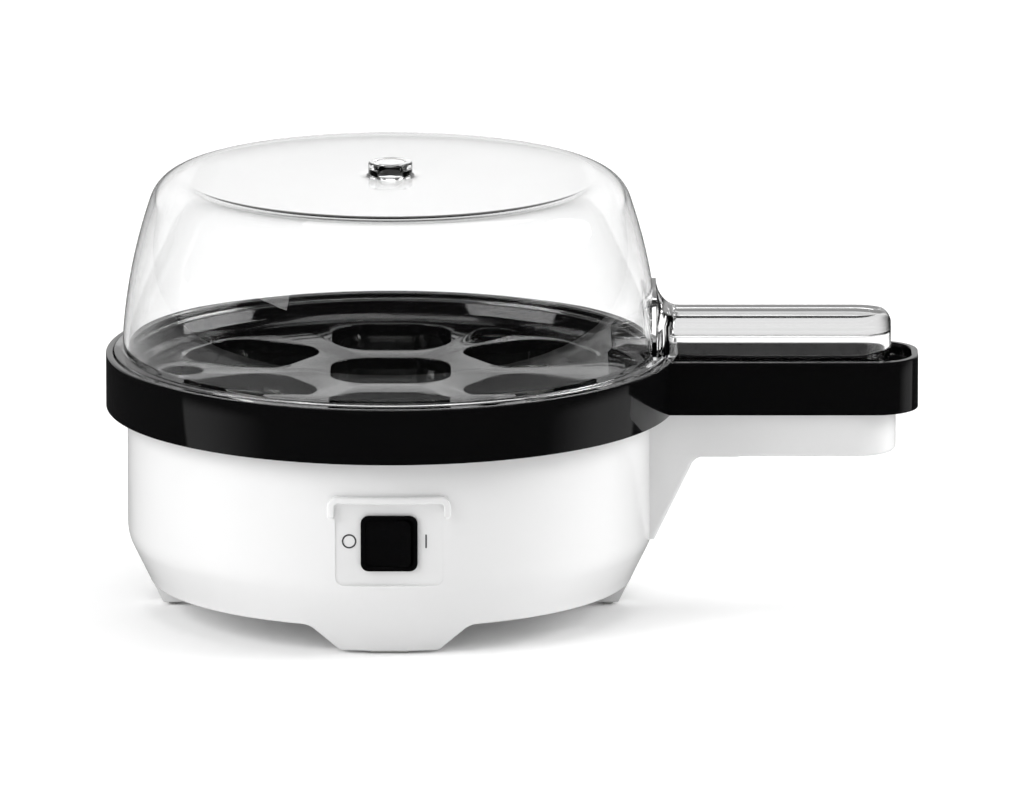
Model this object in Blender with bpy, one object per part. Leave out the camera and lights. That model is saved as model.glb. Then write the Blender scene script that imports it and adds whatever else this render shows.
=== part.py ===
"""Electric egg cooker for seven eggs.

A white housing holds a heated water dish. A black rack with seven egg holes lifts out of it,
and a clear dome lid sits on the rack. Metres, +Z up, origin on the table below the middle of
the appliance. Every piece is laid out about the axis of the dome, which the empty
"dome_axis" marks.
"""

import math

import bmesh
import bpy
from mathutils import Matrix, Vector

MM = 0.001
GAP = 0.3 * MM  # between two pieces that touch
RUN = 0.1 * MM  # radial clearance of a pin that turns in a hole
OVER = 5 * MM  # how far a cutter runs past what it cuts
SEGMENTS = 48  # facets round the large turned pieces
FINE = 12  # facets round pins, bosses and holes
SCREW_FACETS = 10
CORNER_STEPS = 4  # facets in a rounded corner

# Rack: an outer ring that hides the joint with the housing, and a sunken plate with egg holes
EGG_HOLE = 40.0 * MM
EGG_HOLE_CORNER = 13.5 * MM
EGG_WEB = 14.0 * MM  # plate between the middle hole and each of the others
EGG_COUNT = 6  # holes round the middle one
EGG_COLLAR = 9.0 * MM  # depth of the collar round each hole, from the plate's top
COLLAR_WALL = 1.6 * MM
STEAM_HOLE = 14.0 * MM
STEAM_EDGE = 2.5 * MM  # plate outside each steam hole
STEAM_COUNT = 3
PLATE_MARGIN = 5.0 * MM  # from the outer egg holes to the edge of the flat plate
PLATE_DROP = 7.0 * MM  # plate top below the ring's top
PLATE_WALL = 2.0 * MM
GUTTER_WIDE = 5.5 * MM
GUTTER_DROP = 0.6 * MM
LEDGE_STEP = 3.5 * MM  # width of the slope from the gutter up to the lid's ledge
LEDGE_DROP = 2.0 * MM  # lid ledge below the ring's top
RING_BOTTOM = 68.1 * MM
RING_HEIGHT = 18.5 * MM
RING_WALL = 2.4 * MM
RING_EASE = 0.7 * MM  # rounding of the ring's top edge
RING_REACH = 5.1 * MM  # ring outside the rack's seat

# Handles: the rack's trough, the housing's handle under it and the lid's handle in it
TROUGH_REACH = 81.1 * MM  # from the ring to the trough's end
TROUGH_HALF = 18.4 * MM
TROUGH_CORNER = 14.5 * MM
TROUGH_RIM_DROP = 0.6 * MM  # trough rim below the ring's top
TROUGH_DEPTH = 4.7 * MM
GRIP_SHORT = 7.4 * MM  # end of the housing's handle inside the trough's end
GRIP_NARROW = 1.9 * MM  # its side inside the trough's side
GRIP_CORNER = 14.0 * MM
GRIP_DEPTH = 14.6 * MM  # its underside below the ring's bottom
GRIP_EASE = 1.5 * MM
LID_GRIP_SHORT = 9.1 * MM  # end of the lid's handle inside the trough's end
LID_GRIP_PLAY = 3.3 * MM  # between its side and the trough's inner wall
LID_GRIP_CORNER = 12.0 * MM
LID_GRIP_RISE = 13.5 * MM  # its top above the ring's top
LID_GRIP_ROOF = 6.4 * MM  # its thick top
LID_GRIP_EASE = 4.0 * MM

# Lid: a wall drawn as one large arc, a shoulder and a flat top
LID_WALL = 2.0 * MM
LID_LIP = 2.9 * MM  # from the ring's inner face to the widest part of the dome wall
LID_ARC = 180.0 * MM  # radius of the wall's arc in section
LID_ARC_DROP = 6.6 * MM  # height at which that arc is upright, below the ring's top
LID_RISE = 59.9 * MM  # flat top above the ring's top
LID_SHOULDER = 12.0 * MM
LID_FLANGE = 2.5 * MM
VENT_BOSS = 14.7 * MM
VENT_HOLE = 9.2 * MM
VENT_HEIGHT = 4.3 * MM

# Housing
HOUSING_LAP = 2.0 * MM  # wall of the housing inside the edge of the rack's seat
HOUSING_WALL = 2.2 * MM
SKIRT_TOP = 25.3 * MM
SKIRT_SLOPE = 0.488  # change of radius for each unit of height
SKIRT_EDGE = 10.0 * MM  # raised edge of the skirt between the legs
LEG_BOTTOM = 1.0 * MM
LEG_DEPTH = 18.7 * MM  # inner face of the legs inside the drum's outer face
LEG_HALF = 16.35 * MM  # half width of the front and back legs at the floor
LEG_FLARE = 28.4 * MM  # half width where they run out into the skirt's edge
LEG_ROUND = 7.0 * MM
SIDE_FOOT_HALF = 4.6 * MM
SIDE_FOOT_FLARE = 6.4 * MM
PAD_HALF = 6.85 * MM
PAD_DEPTH = 4.2 * MM
SIDE_PAD_HALF = 2.6 * MM
SIDE_PAD_DEPTH = 3.4 * MM
PAD_SEAT = 1.5 * MM  # depth of the pocket that a pad sits in

# Switch: a rocker that swings about an upright pivot
SWITCH_Z = 39.9 * MM
PANEL_DEPTH = 2.1 * MM  # flat panel behind the drum's outer face
PANEL_SIDE = 8.45 * MM  # panel beside the bezel
PANEL_UNDER = 5.0 * MM
PANEL_OVER = 3.9 * MM
PANEL_CORNER = 3.0 * MM
VISOR_WIDER = 2.6 * MM  # visor outside the panel's sides
VISOR_HIGHER = 2.8 * MM  # visor above the panel
VISOR_DROP = 7.5 * MM  # length of the visor's arms
VISOR_WALL = 2.4 * MM
VISOR_REACH = 2.0 * MM
BEZEL_HALF = 9.4 * MM
BEZEL_CORNER = 2.6 * MM
BEZEL_THICK = 0.8 * MM
SWITCH_WALL = 0.7 * MM
BEZEL_LIP = 0.7 * MM  # bezel outside the switch body
SWITCH_DEPTH = 22.0 * MM
SWITCH_CAVITY = 14.0 * MM
ROCKER_PLAY = 0.5 * MM  # between the rocker and the sides of its well
ROCKER_TIP = 3.2 * MM  # rocker's ends in front of its pivot
ROCKER_VALLEY = 2.5 * MM  # its middle in front of the pivot
ROCKER_BACK = 1.2 * MM  # its ends behind the pivot
ROCKER_PIVOT = 2.0 * MM  # pivot behind the bezel's back
ROCKER_TILT = 6.0  # degrees each way from the middle
ROCKER_PIN = 1.2 * MM
LEVER_TILT = 5.0
LEVER_HALF = 5.5 * MM
LEVER_THICK = 0.6 * MM
LEVER_HEIGHT = 5.0 * MM
TERMINAL_X = 4.6 * MM
TERMINAL_THICK = 0.8 * MM
TERMINAL_WIDE = 4.8 * MM
TERMINAL_TAIL = 7.0 * MM

# Heating dish and what hangs under it
DISH_SHEET = 1.0 * MM
DISH_PLAY = 1.5 * MM  # between the dish and the housing's shelf
DISH_FLARE = 5.0 * MM  # how much wider the dish is at its rim than at its floor
DISH_DEPTH = 12.0 * MM  # dish floor below the shelf
SHELF_DROP = 11.0 * MM  # the housing's shelf below its top
SHELF_WIDE = 9.3 * MM
SEAL_THICK = 1.4 * MM
SEAL_WIDE = 3.0 * MM
DISH_SCREW_INSET = 3.5 * MM  # from the drum's inner face
DISH_SCREW_COUNT = 3
DISH_BOSS = 4.0 * MM
DISH_BOSS_DEPTH = 14.0 * MM
SPREADER_INSET = 14.0 * MM  # inside the dish's floor
SPREADER_THICK = 2.0 * MM
ELEMENT_INSET = 11.0 * MM  # element's centre line inside the spreader's edge
ELEMENT_ROD = 3.2 * MM
ELEMENT_OPEN = 20.0  # degrees from the back to each end of the element
ELEMENT_BEND = 8.0 * MM
ELEMENT_TAIL = 6.0 * MM
THERMOSTAT_RADIUS = 8.0 * MM
THERMOSTAT_HEIGHT = 8.0 * MM
TAB_REACH = 6.0 * MM
TAB_THICK = 0.8 * MM
TAB_HALF = 2.4 * MM
TAB_DROP = 6.4 * MM
BRACKET_THICK = 1.2 * MM
BRACKET_HALF = 3.6 * MM
STUD_PITCH = 14.0 * MM
STUD_RADIUS = 1.5 * MM
STUD_LENGTH = 13.0 * MM
NUT_RADIUS = 3.1 * MM
NUT_THICK = 2.4 * MM
EARTH_STUD_X = 30.0 * MM
EARTH_STUD_LENGTH = 8.5 * MM
FUSE_RADIUS = 2.2 * MM
FUSE_LENGTH = 11.0 * MM
FUSE_AT = (16.0 * MM, 25.5 * MM)

# Bottom cover, its screws and the mains entry
COVER_THICK = 2.2 * MM
COVER_DROP = 0.4 * MM  # cover's underside above the skirt's edge
FLANGE_THICK = 2.8 * MM
SCREW_INSET = 7.3 * MM  # cover screws and cord clamp inside the cover's edge
SCREW_COUNT = 4
SCREW_RADIUS = 1.45 * MM
SCREW_LENGTH = 12.0 * MM
SCREW_HEAD = 3.0 * MM
SCREW_HEAD_HEIGHT = 2.0 * MM
BOSS_RADIUS = 3.6 * MM
BOSS_TOP = 36.0 * MM
RIB_THICK = 2.0 * MM
GLAND_Z = 34.0 * MM
GLAND_BORE = 3.3 * MM
GLAND_RADIUS = 5.5 * MM
GLAND_FLANGE = 7.0 * MM
GLAND_LIP = 1.6 * MM
VENT_SLOT = 31.0 * MM  # length of the cover's air slots
VENT_PITCH = 6.0 * MM
CLAMP_HALF = 9.0 * MM
CLAMP_POST = 3.4 * MM
CLAMP_BAR = 2.0 * MM
CLAMP_DEPTH = 6.0 * MM
BLOCK_SIZE = (26.0 * MM, 12.0 * MM, 10.0 * MM)
BLOCK_AT = (-24.0 * MM, 40.0 * MM)
BLOCK_PITCH = 8.0 * MM
BLOCK_HOLE = 1.6 * MM
LEAD_RADIUS = 1.0 * MM

# Worked out from the sizes above
EGG_PITCH = EGG_HOLE + EGG_WEB
PLATE_RADIUS = EGG_PITCH + EGG_HOLE / 2 + PLATE_MARGIN
GUTTER_RADIUS = PLATE_RADIUS + GUTTER_WIDE
LEDGE_INNER = GUTTER_RADIUS + LEDGE_STEP
SEAT_RADIUS = LEDGE_INNER + PLATE_WALL
RING_RADIUS = SEAT_RADIUS + RING_REACH
STEAM_PITCH = PLATE_RADIUS - STEAM_EDGE - STEAM_HOLE / 2
HOUSING_RADIUS = SEAT_RADIUS - HOUSING_LAP
TROUGH_END = RING_RADIUS + TROUGH_REACH
GRIP_END = TROUGH_END - GRIP_SHORT
GRIP_HALF = TROUGH_HALF - GRIP_NARROW
GRIP_BOTTOM = RING_BOTTOM - GRIP_DEPTH
LID_GRIP_END = TROUGH_END - LID_GRIP_SHORT
LID_GRIP_HALF = TROUGH_HALF - RING_WALL - LID_GRIP_PLAY
DOME_X = (RING_RADIUS - TROUGH_END) / 2
RING_TOP = RING_BOTTOM + RING_HEIGHT
RING_INNER = RING_RADIUS - RING_WALL
LEDGE_Z = RING_TOP - LEDGE_DROP
PLATE_Z = RING_TOP - PLATE_DROP
SEAT_Z = PLATE_Z - PLATE_WALL - GAP
HOUSING_TOP = SEAT_Z - GAP
HOUSING_INNER = HOUSING_RADIUS - HOUSING_WALL
LEG_INNER = HOUSING_RADIUS - LEG_DEPTH
SCREW_PITCH = LEG_INNER - SCREW_INSET
CLAMP_Y = LEG_INNER - SCREW_INSET
LID_BOTTOM = LEDGE_Z + GAP
LID_RADIUS = RING_INNER - LID_LIP
LID_ARC_Z = RING_TOP - LID_ARC_DROP
LID_TOP = RING_TOP + LID_RISE
LID_GRIP_TOP = RING_TOP + LID_GRIP_RISE
TROUGH_RIM = RING_TOP - TROUGH_RIM_DROP
TROUGH_FLOOR = TROUGH_RIM - TROUGH_DEPTH
GRIP_TOP = RING_BOTTOM - GAP
COVER_BOTTOM = SKIRT_EDGE + COVER_DROP
COVER_TOP = COVER_BOTTOM + COVER_THICK
FLANGE_TOP = SKIRT_EDGE + FLANGE_THICK
DISH_SHELF = HOUSING_TOP - SHELF_DROP
SHELF_INNER = HOUSING_INNER - SHELF_WIDE
DISH_RADIUS = SHELF_INNER - DISH_PLAY
DISH_FLOOR_RADIUS = DISH_RADIUS - DISH_FLARE
DISH_FLOOR = DISH_SHELF - DISH_DEPTH
DISH_SCREW_PITCH = HOUSING_INNER - DISH_SCREW_INSET
DISH_RIM = DISH_SHELF + SEAL_THICK + 2 * GAP
SPREADER_RADIUS = DISH_FLOOR_RADIUS - SPREADER_INSET
ELEMENT_PITCH = SPREADER_RADIUS - ELEMENT_INSET
SPREADER_TOP = DISH_FLOOR - DISH_SHEET - GAP
SPREADER_BOTTOM = SPREADER_TOP - SPREADER_THICK
ELEMENT_Z = SPREADER_BOTTOM - GAP - ELEMENT_ROD
THERMOSTAT_TOP = SPREADER_BOTTOM - GAP
BRACKET_TOP = THERMOSTAT_TOP - THERMOSTAT_HEIGHT - GAP
TAB_Z = THERMOSTAT_TOP - TAB_DROP
FUSE_Z = SPREADER_BOTTOM - GAP - FUSE_RADIUS
PANEL_Y = HOUSING_RADIUS - PANEL_DEPTH
PANEL_HALF = BEZEL_HALF + PANEL_SIDE
PANEL_LOW = SWITCH_Z - BEZEL_HALF - PANEL_UNDER
PANEL_HIGH = SWITCH_Z + BEZEL_HALF + PANEL_OVER
VISOR_HALF = PANEL_HALF + VISOR_WIDER
VISOR_TOP = PANEL_HIGH + VISOR_HIGHER
VISOR_ARM = VISOR_TOP - VISOR_DROP
BEZEL_Y = -(PANEL_Y + GAP)
PIVOT_Y = BEZEL_Y + ROCKER_PIVOT
SWITCH_FLOOR_Y = BEZEL_Y + SWITCH_CAVITY
SWITCH_BACK_Y = BEZEL_Y + SWITCH_DEPTH
LEVER_Y = SWITCH_FLOOR_Y - 2.2 * MM
SWITCH_HALF = BEZEL_HALF - BEZEL_LIP
SWITCH_INNER = SWITCH_HALF - SWITCH_WALL
ROCKER_HALF = SWITCH_INNER - ROCKER_PLAY
TERMINAL_END_Y = SWITCH_BACK_Y + TERMINAL_TAIL
CLAMP_BAR_Z = GLAND_Z + GLAND_BORE + GAP
BLOCK_Z = COVER_TOP + GAP


# ---------------------------------------------------------------- shapes


def mesh_from(bm):
    """The mesh of a finished bmesh, with its faces turned outwards."""
    bmesh.ops.recalc_face_normals(bm, faces=bm.faces)
    mesh = bpy.data.meshes.new("shape")
    bm.to_mesh(mesh)
    bm.free()
    return mesh


def turned(profile, segments=SEGMENTS):
    """A solid turned about Z from (radius, height) points; one that starts on the axis stays open."""
    bm = bmesh.new()
    points = [bm.verts.new((radius, 0, height)) for radius, height in profile]
    edges = [bm.edges.new(pair) for pair in zip(points, points[1:])]
    if profile[0][0] > 0:
        edges.append(bm.edges.new((points[-1], points[0])))
    bmesh.ops.spin(
        bm,
        geom=points + edges,
        cent=(0, 0, 0),
        axis=(0, 0, 1),
        angle=math.tau,
        steps=segments,
        use_merge=True,
    )
    bmesh.ops.remove_doubles(bm, verts=bm.verts, dist=MM / 1000)
    return mesh_from(bm)


def disc(radius, low, high, segments=SEGMENTS):
    """A plain round solid about Z."""
    return turned([(0, high), (radius, high), (radius, low), (0, low)], segments)


def loft(loops):
    """A closed solid through loops of equal length."""
    bm = bmesh.new()
    rings = [[bm.verts.new(point) for point in loop] for loop in loops]
    for lower, upper in zip(rings, rings[1:]):
        for i, corner in enumerate(lower):
            bm.faces.new((lower[i - 1], corner, upper[i], upper[i - 1]))
    bm.faces.new(rings[0][::-1])
    bm.faces.new(rings[-1])
    return mesh_from(bm)


def prism(outline, low, high, along="Z"):
    """An outline of two coordinates, extruded from low to high along an axis."""
    place = {
        "X": lambda u, v, w: (w, u, v),
        "Y": lambda u, v, w: (u, w, v),
        "Z": lambda u, v, w: (u, v, w),
    }[along]
    return loft([[place(u, v, w) for u, v in outline] for w in (low, high)])


def block(low, high):
    """A plain box between two corners."""
    outline = [(low[0], low[1]), (high[0], low[1]), (high[0], high[1]), (low[0], high[1])]
    return prism(outline, low[2], high[2])


def rounded(corners, steps=CORNER_STEPS):
    """An outline through (u, v, radius) corners, each rounded to its radius."""
    points = []
    for i, (u, v, radius) in enumerate(corners):
        here = Vector((u, v))
        if radius <= 0:
            points.append(tuple(here))
            continue
        back = (Vector(corners[i - 1][:2]) - here).normalized()
        ahead = (Vector(corners[(i + 1) % len(corners)][:2]) - here).normalized()
        half = back.angle(ahead) / 2
        centre = here + (back + ahead).normalized() * radius / math.sin(half)
        start = here + back * radius / math.tan(half) - centre
        end = here + ahead * radius / math.tan(half) - centre
        first = math.atan2(start.y, start.x)
        turn = (math.atan2(end.y, end.x) - first + math.pi) % math.tau - math.pi
        for step in range(steps + 1):
            angle = first + turn * step / steps
            points.append((centre.x + radius * math.cos(angle), centre.y + radius * math.sin(angle)))
    return points


def rounded_box(half_u, half_v, radius, centre=(0, 0), steps=CORNER_STEPS):
    """The outline of a rectangle with four equal rounded corners."""
    signs = ((-1, -1), (1, -1), (1, 1), (-1, 1))
    return rounded([(centre[0] + a * half_u, centre[1] + b * half_v, radius) for a, b in signs], steps)


def handle_outline(start, end, half, corner):
    """A bar along X whose far end has rounded corners."""
    return rounded([(start, -half, 0), (end, -half, corner), (end, half, corner), (start, half, 0)])


def handle_solid(start, end, half, corner, levels):
    """A bar along X, through (height, inset) levels that shape its rim."""
    loops = []
    for height, inset in levels:
        outline = handle_outline(start, end - inset, half - inset, corner - inset)
        loops.append([(x, y, height) for x, y in outline])
    return loft(loops)


def eased(radius, edge, inward, steps=3):
    """(height, inset) levels of a rounded edge at height edge; inward is +1 below it, -1 above."""
    levels = []
    for step in range(steps + 1):
        angle = math.pi / 2 * step / steps
        levels.append((edge - inward * radius * (1 - math.sin(angle)), radius * (1 - math.cos(angle))))
    return levels


def arc(centre, radius, start, end, steps):
    """Points (u, v) of an arc from one angle to another, in radians, both ends included."""
    angles = [start + (end - start) * step / steps for step in range(steps + 1)]
    return [(centre[0] + radius * math.cos(a), centre[1] + radius * math.sin(a)) for a in angles]


def moved(mesh, location=(0, 0, 0), turn=0.0, axis="Z"):
    """The same mesh, turned about an axis through the origin and then shifted."""
    mesh.transform(Matrix.Translation(location) @ Matrix.Rotation(turn, 4, axis))
    return mesh


def combined(meshes):
    """One mesh of several shapes that don't touch each other."""
    bm = bmesh.new()
    for mesh in meshes:
        bm.from_mesh(mesh)
    return mesh_from(bm)


def round_places(count, pitch, first=0.0):
    """(x, y, angle) of places spread evenly on a circle."""
    places = []
    for i in range(count):
        angle = math.radians(first) + math.tau * i / count
        places.append((pitch * math.cos(angle), pitch * math.sin(angle), angle))
    return places


def smooth_route(points, per_span=2):
    """Points of a smooth curve through a few chosen ones."""
    ends = [2 * points[0] - points[1], *points, 2 * points[-1] - points[-2]]
    route = []
    for before, start, end, after in zip(ends, ends[1:], ends[2:], ends[3:]):
        for step in range(per_span):
            t = step / per_span
            pull = (end - before) * t + (2 * before - 5 * start + 4 * end - after) * t**2
            route.append(start + (pull + (3 * start - before - 3 * end + after) * t**3) / 2)
    return [*route, points[-1]]


# ---------------------------------------------------------------- objects


def material(name, colour, roughness, metallic=0.0, transmission=0.0):
    made = bpy.data.materials.new(name)
    made.use_nodes = True
    shader = made.node_tree.nodes["Principled BSDF"]
    shader.inputs["Base Color"].default_value = (*colour, 1.0)
    shader.inputs["Roughness"].default_value = roughness
    shader.inputs["Metallic"].default_value = metallic
    shader.inputs["Transmission Weight"].default_value = transmission
    made.diffuse_color = (*colour, 1.0 - 0.7 * transmission)
    return made


def add(name, mesh, finish, location=(0, 0, 0), turn=0.0):
    """A named sub-part at a place given from the dome's axis."""
    item = bpy.data.objects.new(name, mesh)
    bpy.context.scene.collection.objects.link(item)
    item.parent = dome_axis
    item.location = location
    item.rotation_euler.z = turn
    mesh.name = name
    mesh.materials.append(finish)
    mesh.shade_smooth()
    mesh.set_sharp_from_angle(angle=math.radians(35))
    return item


def apply_shape(target, mesh, operation="DIFFERENCE"):
    """Cuts a helper shape from a piece, or joins it on. The helper stays in the file."""
    helper = bpy.data.objects.new(f"{target.name}_{operation.lower()}_{len(target.modifiers)}", mesh)
    bpy.context.scene.collection.objects.link(helper)
    helper.parent = target
    helper.hide_render = True
    helper.display_type = "WIRE"
    modifier = target.modifiers.new(operation.title(), "BOOLEAN")
    modifier.operation = operation
    modifier.object = helper
    return helper


def add_tube(name, route, radius, finish):
    """A round rod or wire along a route."""
    curve = bpy.data.curves.new(name, "CURVE")
    curve.dimensions = "3D"
    curve.bevel_depth = radius
    curve.bevel_resolution = 2
    curve.use_fill_caps = True
    spline = curve.splines.new("POLY")
    spline.points.add(len(route) - 1)
    for point, place in zip(spline.points, route):
        point.co = (*place, 1.0)
    curve.materials.append(finish)
    item = bpy.data.objects.new(name, curve)
    bpy.context.scene.collection.objects.link(item)
    item.parent = dome_axis
    return item


def screw_mesh(shank=SCREW_LENGTH, head=SCREW_HEAD, radius=SCREW_RADIUS):
    """A pan-head screw that points up, with its head's seat at the origin."""
    crown = head * 0.6
    profile = [(0, shank), (radius * 0.4, shank), (radius, shank - radius), (radius, 0), (head, 0)]
    profile += [(head, -SCREW_HEAD_HEIGHT * 0.5), (crown, -SCREW_HEAD_HEIGHT), (0, -SCREW_HEAD_HEIGHT)]
    return turned(profile, SCREW_FACETS)


def slotted(screw, head=SCREW_HEAD):
    """Cuts the cross recess into the head of a screw whose head faces down."""
    arm, half = head * 0.55, head * 0.12
    depth = SCREW_HEAD_HEIGHT * 0.6
    for outline in ((arm, half), (half, arm)):
        low = (-outline[0], -outline[1], -SCREW_HEAD_HEIGHT - OVER)
        high = (outline[0], outline[1], -SCREW_HEAD_HEIGHT + depth)
        apply_shape(screw, block(low, high))


# ---------------------------------------------------------------- housing


def skirt_radius(height):
    """Outer radius of the housing's tapered skirt."""
    return HOUSING_RADIUS - SKIRT_SLOPE * (SKIRT_TOP - height)


def housing_cavity():
    """The hollow of the housing: the well over the dish shelf, the drum below it and the bottom opening."""
    inset = HOUSING_WALL * math.hypot(1, SKIRT_SLOPE)
    return turned(
        [
            (0, HOUSING_TOP + OVER),
            (HOUSING_INNER, HOUSING_TOP + OVER),
            (HOUSING_INNER, DISH_SHELF),
            (SHELF_INNER, DISH_SHELF),
            (SHELF_INNER, DISH_SHELF - HOUSING_WALL),
            (HOUSING_INNER, DISH_SHELF - HOUSING_WALL),
            (HOUSING_INNER, SKIRT_TOP),
            (skirt_radius(FLANGE_TOP) - inset, FLANGE_TOP),
            (LEG_INNER, FLANGE_TOP),
            (LEG_INNER, -OVER),
            (0, -OVER),
        ]
    )


def leg_outline(half, flare, roundness):
    """A leg seen from outside: flat at the floor, sweeping out into the skirt's edge."""
    return rounded(
        [
            (-flare - OVER, SKIRT_EDGE + OVER, 0),
            (-flare - OVER, SKIRT_EDGE, 0),
            (-flare + roundness / 4, SKIRT_EDGE, roundness),
            (-half, LEG_BOTTOM, roundness / 3),
            (-half, -2 * OVER, 0),
            (half, -2 * OVER, 0),
            (half, LEG_BOTTOM, roundness / 3),
            (flare - roundness / 4, SKIRT_EDGE, roundness),
            (flare + OVER, SKIRT_EDGE, 0),
            (flare + OVER, SKIRT_EDGE + OVER, 0),
        ]
    )


def between_legs(housing):
    """Clears the skirt's lower band everywhere but at the four legs."""
    reach = HOUSING_RADIUS + OVER
    clear = apply_shape(housing, block((-reach, -reach, -OVER), (reach, reach, SKIRT_EDGE)))
    wide = leg_outline(LEG_HALF, LEG_FLARE, LEG_ROUND)
    narrow = leg_outline(SIDE_FOOT_HALF, SIDE_FOOT_FLARE, SIDE_FOOT_HALF / 2)
    inner = LEG_INNER - 2 * OVER
    for side in (-1, 1):
        spans = sorted((side * inner, side * (reach + OVER)))
        apply_shape(clear, prism(wide, *spans, along="Y"))
        apply_shape(clear, prism(narrow, *spans, along="X"))


def housing_handle(housing):
    """The handle under the rack's trough, and the gusset that carries the skirt's slope up to it."""
    levels = [*eased(GRIP_EASE, GRIP_BOTTOM, -1)[::-1], (GRIP_TOP, 0)]
    start = HOUSING_INNER - OVER
    apply_shape(housing, handle_solid(start, GRIP_END, GRIP_HALF, GRIP_CORNER, levels), "UNION")
    top = GRIP_BOTTOM + HOUSING_WALL / 2
    gusset = [
        (start, SKIRT_TOP),
        (HOUSING_RADIUS, SKIRT_TOP),
        (skirt_radius(top), top),
        (start, top),
    ]
    apply_shape(housing, prism(gusset, -GRIP_HALF, GRIP_HALF, along="Y"), "UNION")


def hollow_handle(housing):
    """Opens the handle upwards and the gusset into the drum."""
    pocket = handle_solid(
        HOUSING_RADIUS + HOUSING_WALL,
        GRIP_END - HOUSING_WALL,
        GRIP_HALF - HOUSING_WALL,
        GRIP_CORNER - HOUSING_WALL,
        [(GRIP_BOTTOM + HOUSING_WALL, 0), (GRIP_TOP + OVER, 0)],
    )
    apply_shape(housing, pocket)
    back = HOUSING_WALL * math.hypot(1, SKIRT_SLOPE)
    low, high = SKIRT_TOP + 2 * HOUSING_WALL, GRIP_BOTTOM - GAP
    start = HOUSING_INNER - OVER
    hollow = [
        (start, low),
        (skirt_radius(low) - back, low),
        (skirt_radius(high) - back, high),
        (start, high),
    ]
    half = GRIP_HALF - HOUSING_WALL
    apply_shape(housing, prism(hollow, -half, half, along="Y"))


def switch_panel(housing):
    """The flat panel, the wall behind it and the drip visor round its top."""
    backing_half = PANEL_HALF + HOUSING_WALL
    edge = HOUSING_RADIUS - HOUSING_WALL / 2
    lean = math.asin(backing_half / edge)
    front = arc((0, 0), edge, 1.5 * math.pi - lean, 1.5 * math.pi + lean, 8)
    back = -(PANEL_Y - HOUSING_WALL)
    outline = [(-backing_half, back), *front, (backing_half, back)]
    backing = prism(outline, SKIRT_TOP - HOUSING_WALL / 2, VISOR_TOP + HOUSING_WALL)
    apply_shape(housing, backing, "UNION")
    inner, low = VISOR_HALF - VISOR_WALL, VISOR_TOP - VISOR_WALL
    corner = 1.6 * VISOR_WALL
    hood = rounded(
        [
            (-VISOR_HALF, VISOR_ARM, 0),
            (-inner, VISOR_ARM, 0),
            (-inner, low, corner - VISOR_WALL / 2),
            (inner, low, corner - VISOR_WALL / 2),
            (inner, VISOR_ARM, 0),
            (VISOR_HALF, VISOR_ARM, 0),
            (VISOR_HALF, VISOR_TOP, corner),
            (-VISOR_HALF, VISOR_TOP, corner),
        ]
    )
    reach = HOUSING_RADIUS + VISOR_REACH
    visor = apply_shape(housing, prism(hood, -reach - OVER, back, along="Y"), "UNION")
    apply_shape(visor, disc(reach, 0, HOUSING_TOP), "INTERSECT")
    middle = (PANEL_LOW + PANEL_HIGH) / 2
    recess = rounded_box(PANEL_HALF, (PANEL_HIGH - PANEL_LOW) / 2, PANEL_CORNER, (0, middle))
    apply_shape(housing, prism(recess, -reach - OVER, -PANEL_Y, along="Y"))
    opening = rounded_box(SWITCH_HALF + GAP, SWITCH_HALF + GAP, BEZEL_CORNER, (0, SWITCH_Z))
    apply_shape(housing, prism(opening, -reach, back + OVER, along="Y"))


def screw_bosses(housing):
    """Bosses for the cover's screws, each on a rib from the wall, and bosses under the dish's rim."""
    low = COVER_TOP + GAP
    sunk = HOUSING_WALL / 2 + SCREW_PITCH
    section = [
        (0, low),
        (skirt_radius(low) - sunk, low),
        (HOUSING_RADIUS - sunk, SKIRT_TOP),
        (HOUSING_RADIUS - sunk, BOSS_TOP - GAP),
        (0, BOSS_TOP - GAP),
    ]
    for x, y, angle in round_places(SCREW_COUNT, SCREW_PITCH, 45):
        rib = prism(section, -RIB_THICK / 2, RIB_THICK / 2, along="Y")
        post = disc(BOSS_RADIUS, low, BOSS_TOP, FINE)
        apply_shape(housing, moved(rib, (x, y, 0), angle), "UNION")
        apply_shape(housing, moved(post, (x, y, 0), angle), "UNION")
    top = DISH_RIM - GAP
    seats = round_places(DISH_SCREW_COUNT, DISH_SCREW_PITCH, 30)
    post_low = top - DISH_BOSS_DEPTH
    posts = [moved(disc(DISH_BOSS, post_low, top, FINE), (x, y, 0), a) for x, y, a in seats]
    apply_shape(housing, combined(posts), "UNION")
    bore = SCREW_RADIUS + GAP
    depth = SCREW_LENGTH + GAP
    cover_bores = [
        moved(disc(bore, low - OVER, COVER_BOTTOM + depth, FINE), (x, y, 0), a)
        for x, y, a in round_places(SCREW_COUNT, SCREW_PITCH, 45)
    ]
    dish_bores = [
        moved(disc(bore, top + DISH_SHEET - depth, top + OVER, FINE), (x, y, 0), a) for x, y, a in seats
    ]
    apply_shape(housing, combined(cover_bores + dish_bores))


def foot_places():
    """(x, y, half width, depth, name) of the four rubber pads."""
    middle = (LEG_INNER + skirt_radius(LEG_BOTTOM)) / 2
    return [
        (0, -middle, PAD_HALF, PAD_DEPTH / 2, "front"),
        (0, middle, PAD_HALF, PAD_DEPTH / 2, "back"),
        (-middle, 0, SIDE_PAD_DEPTH / 2, SIDE_PAD_HALF, "left"),
        (middle, 0, SIDE_PAD_DEPTH / 2, SIDE_PAD_HALF, "right"),
    ]


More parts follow.
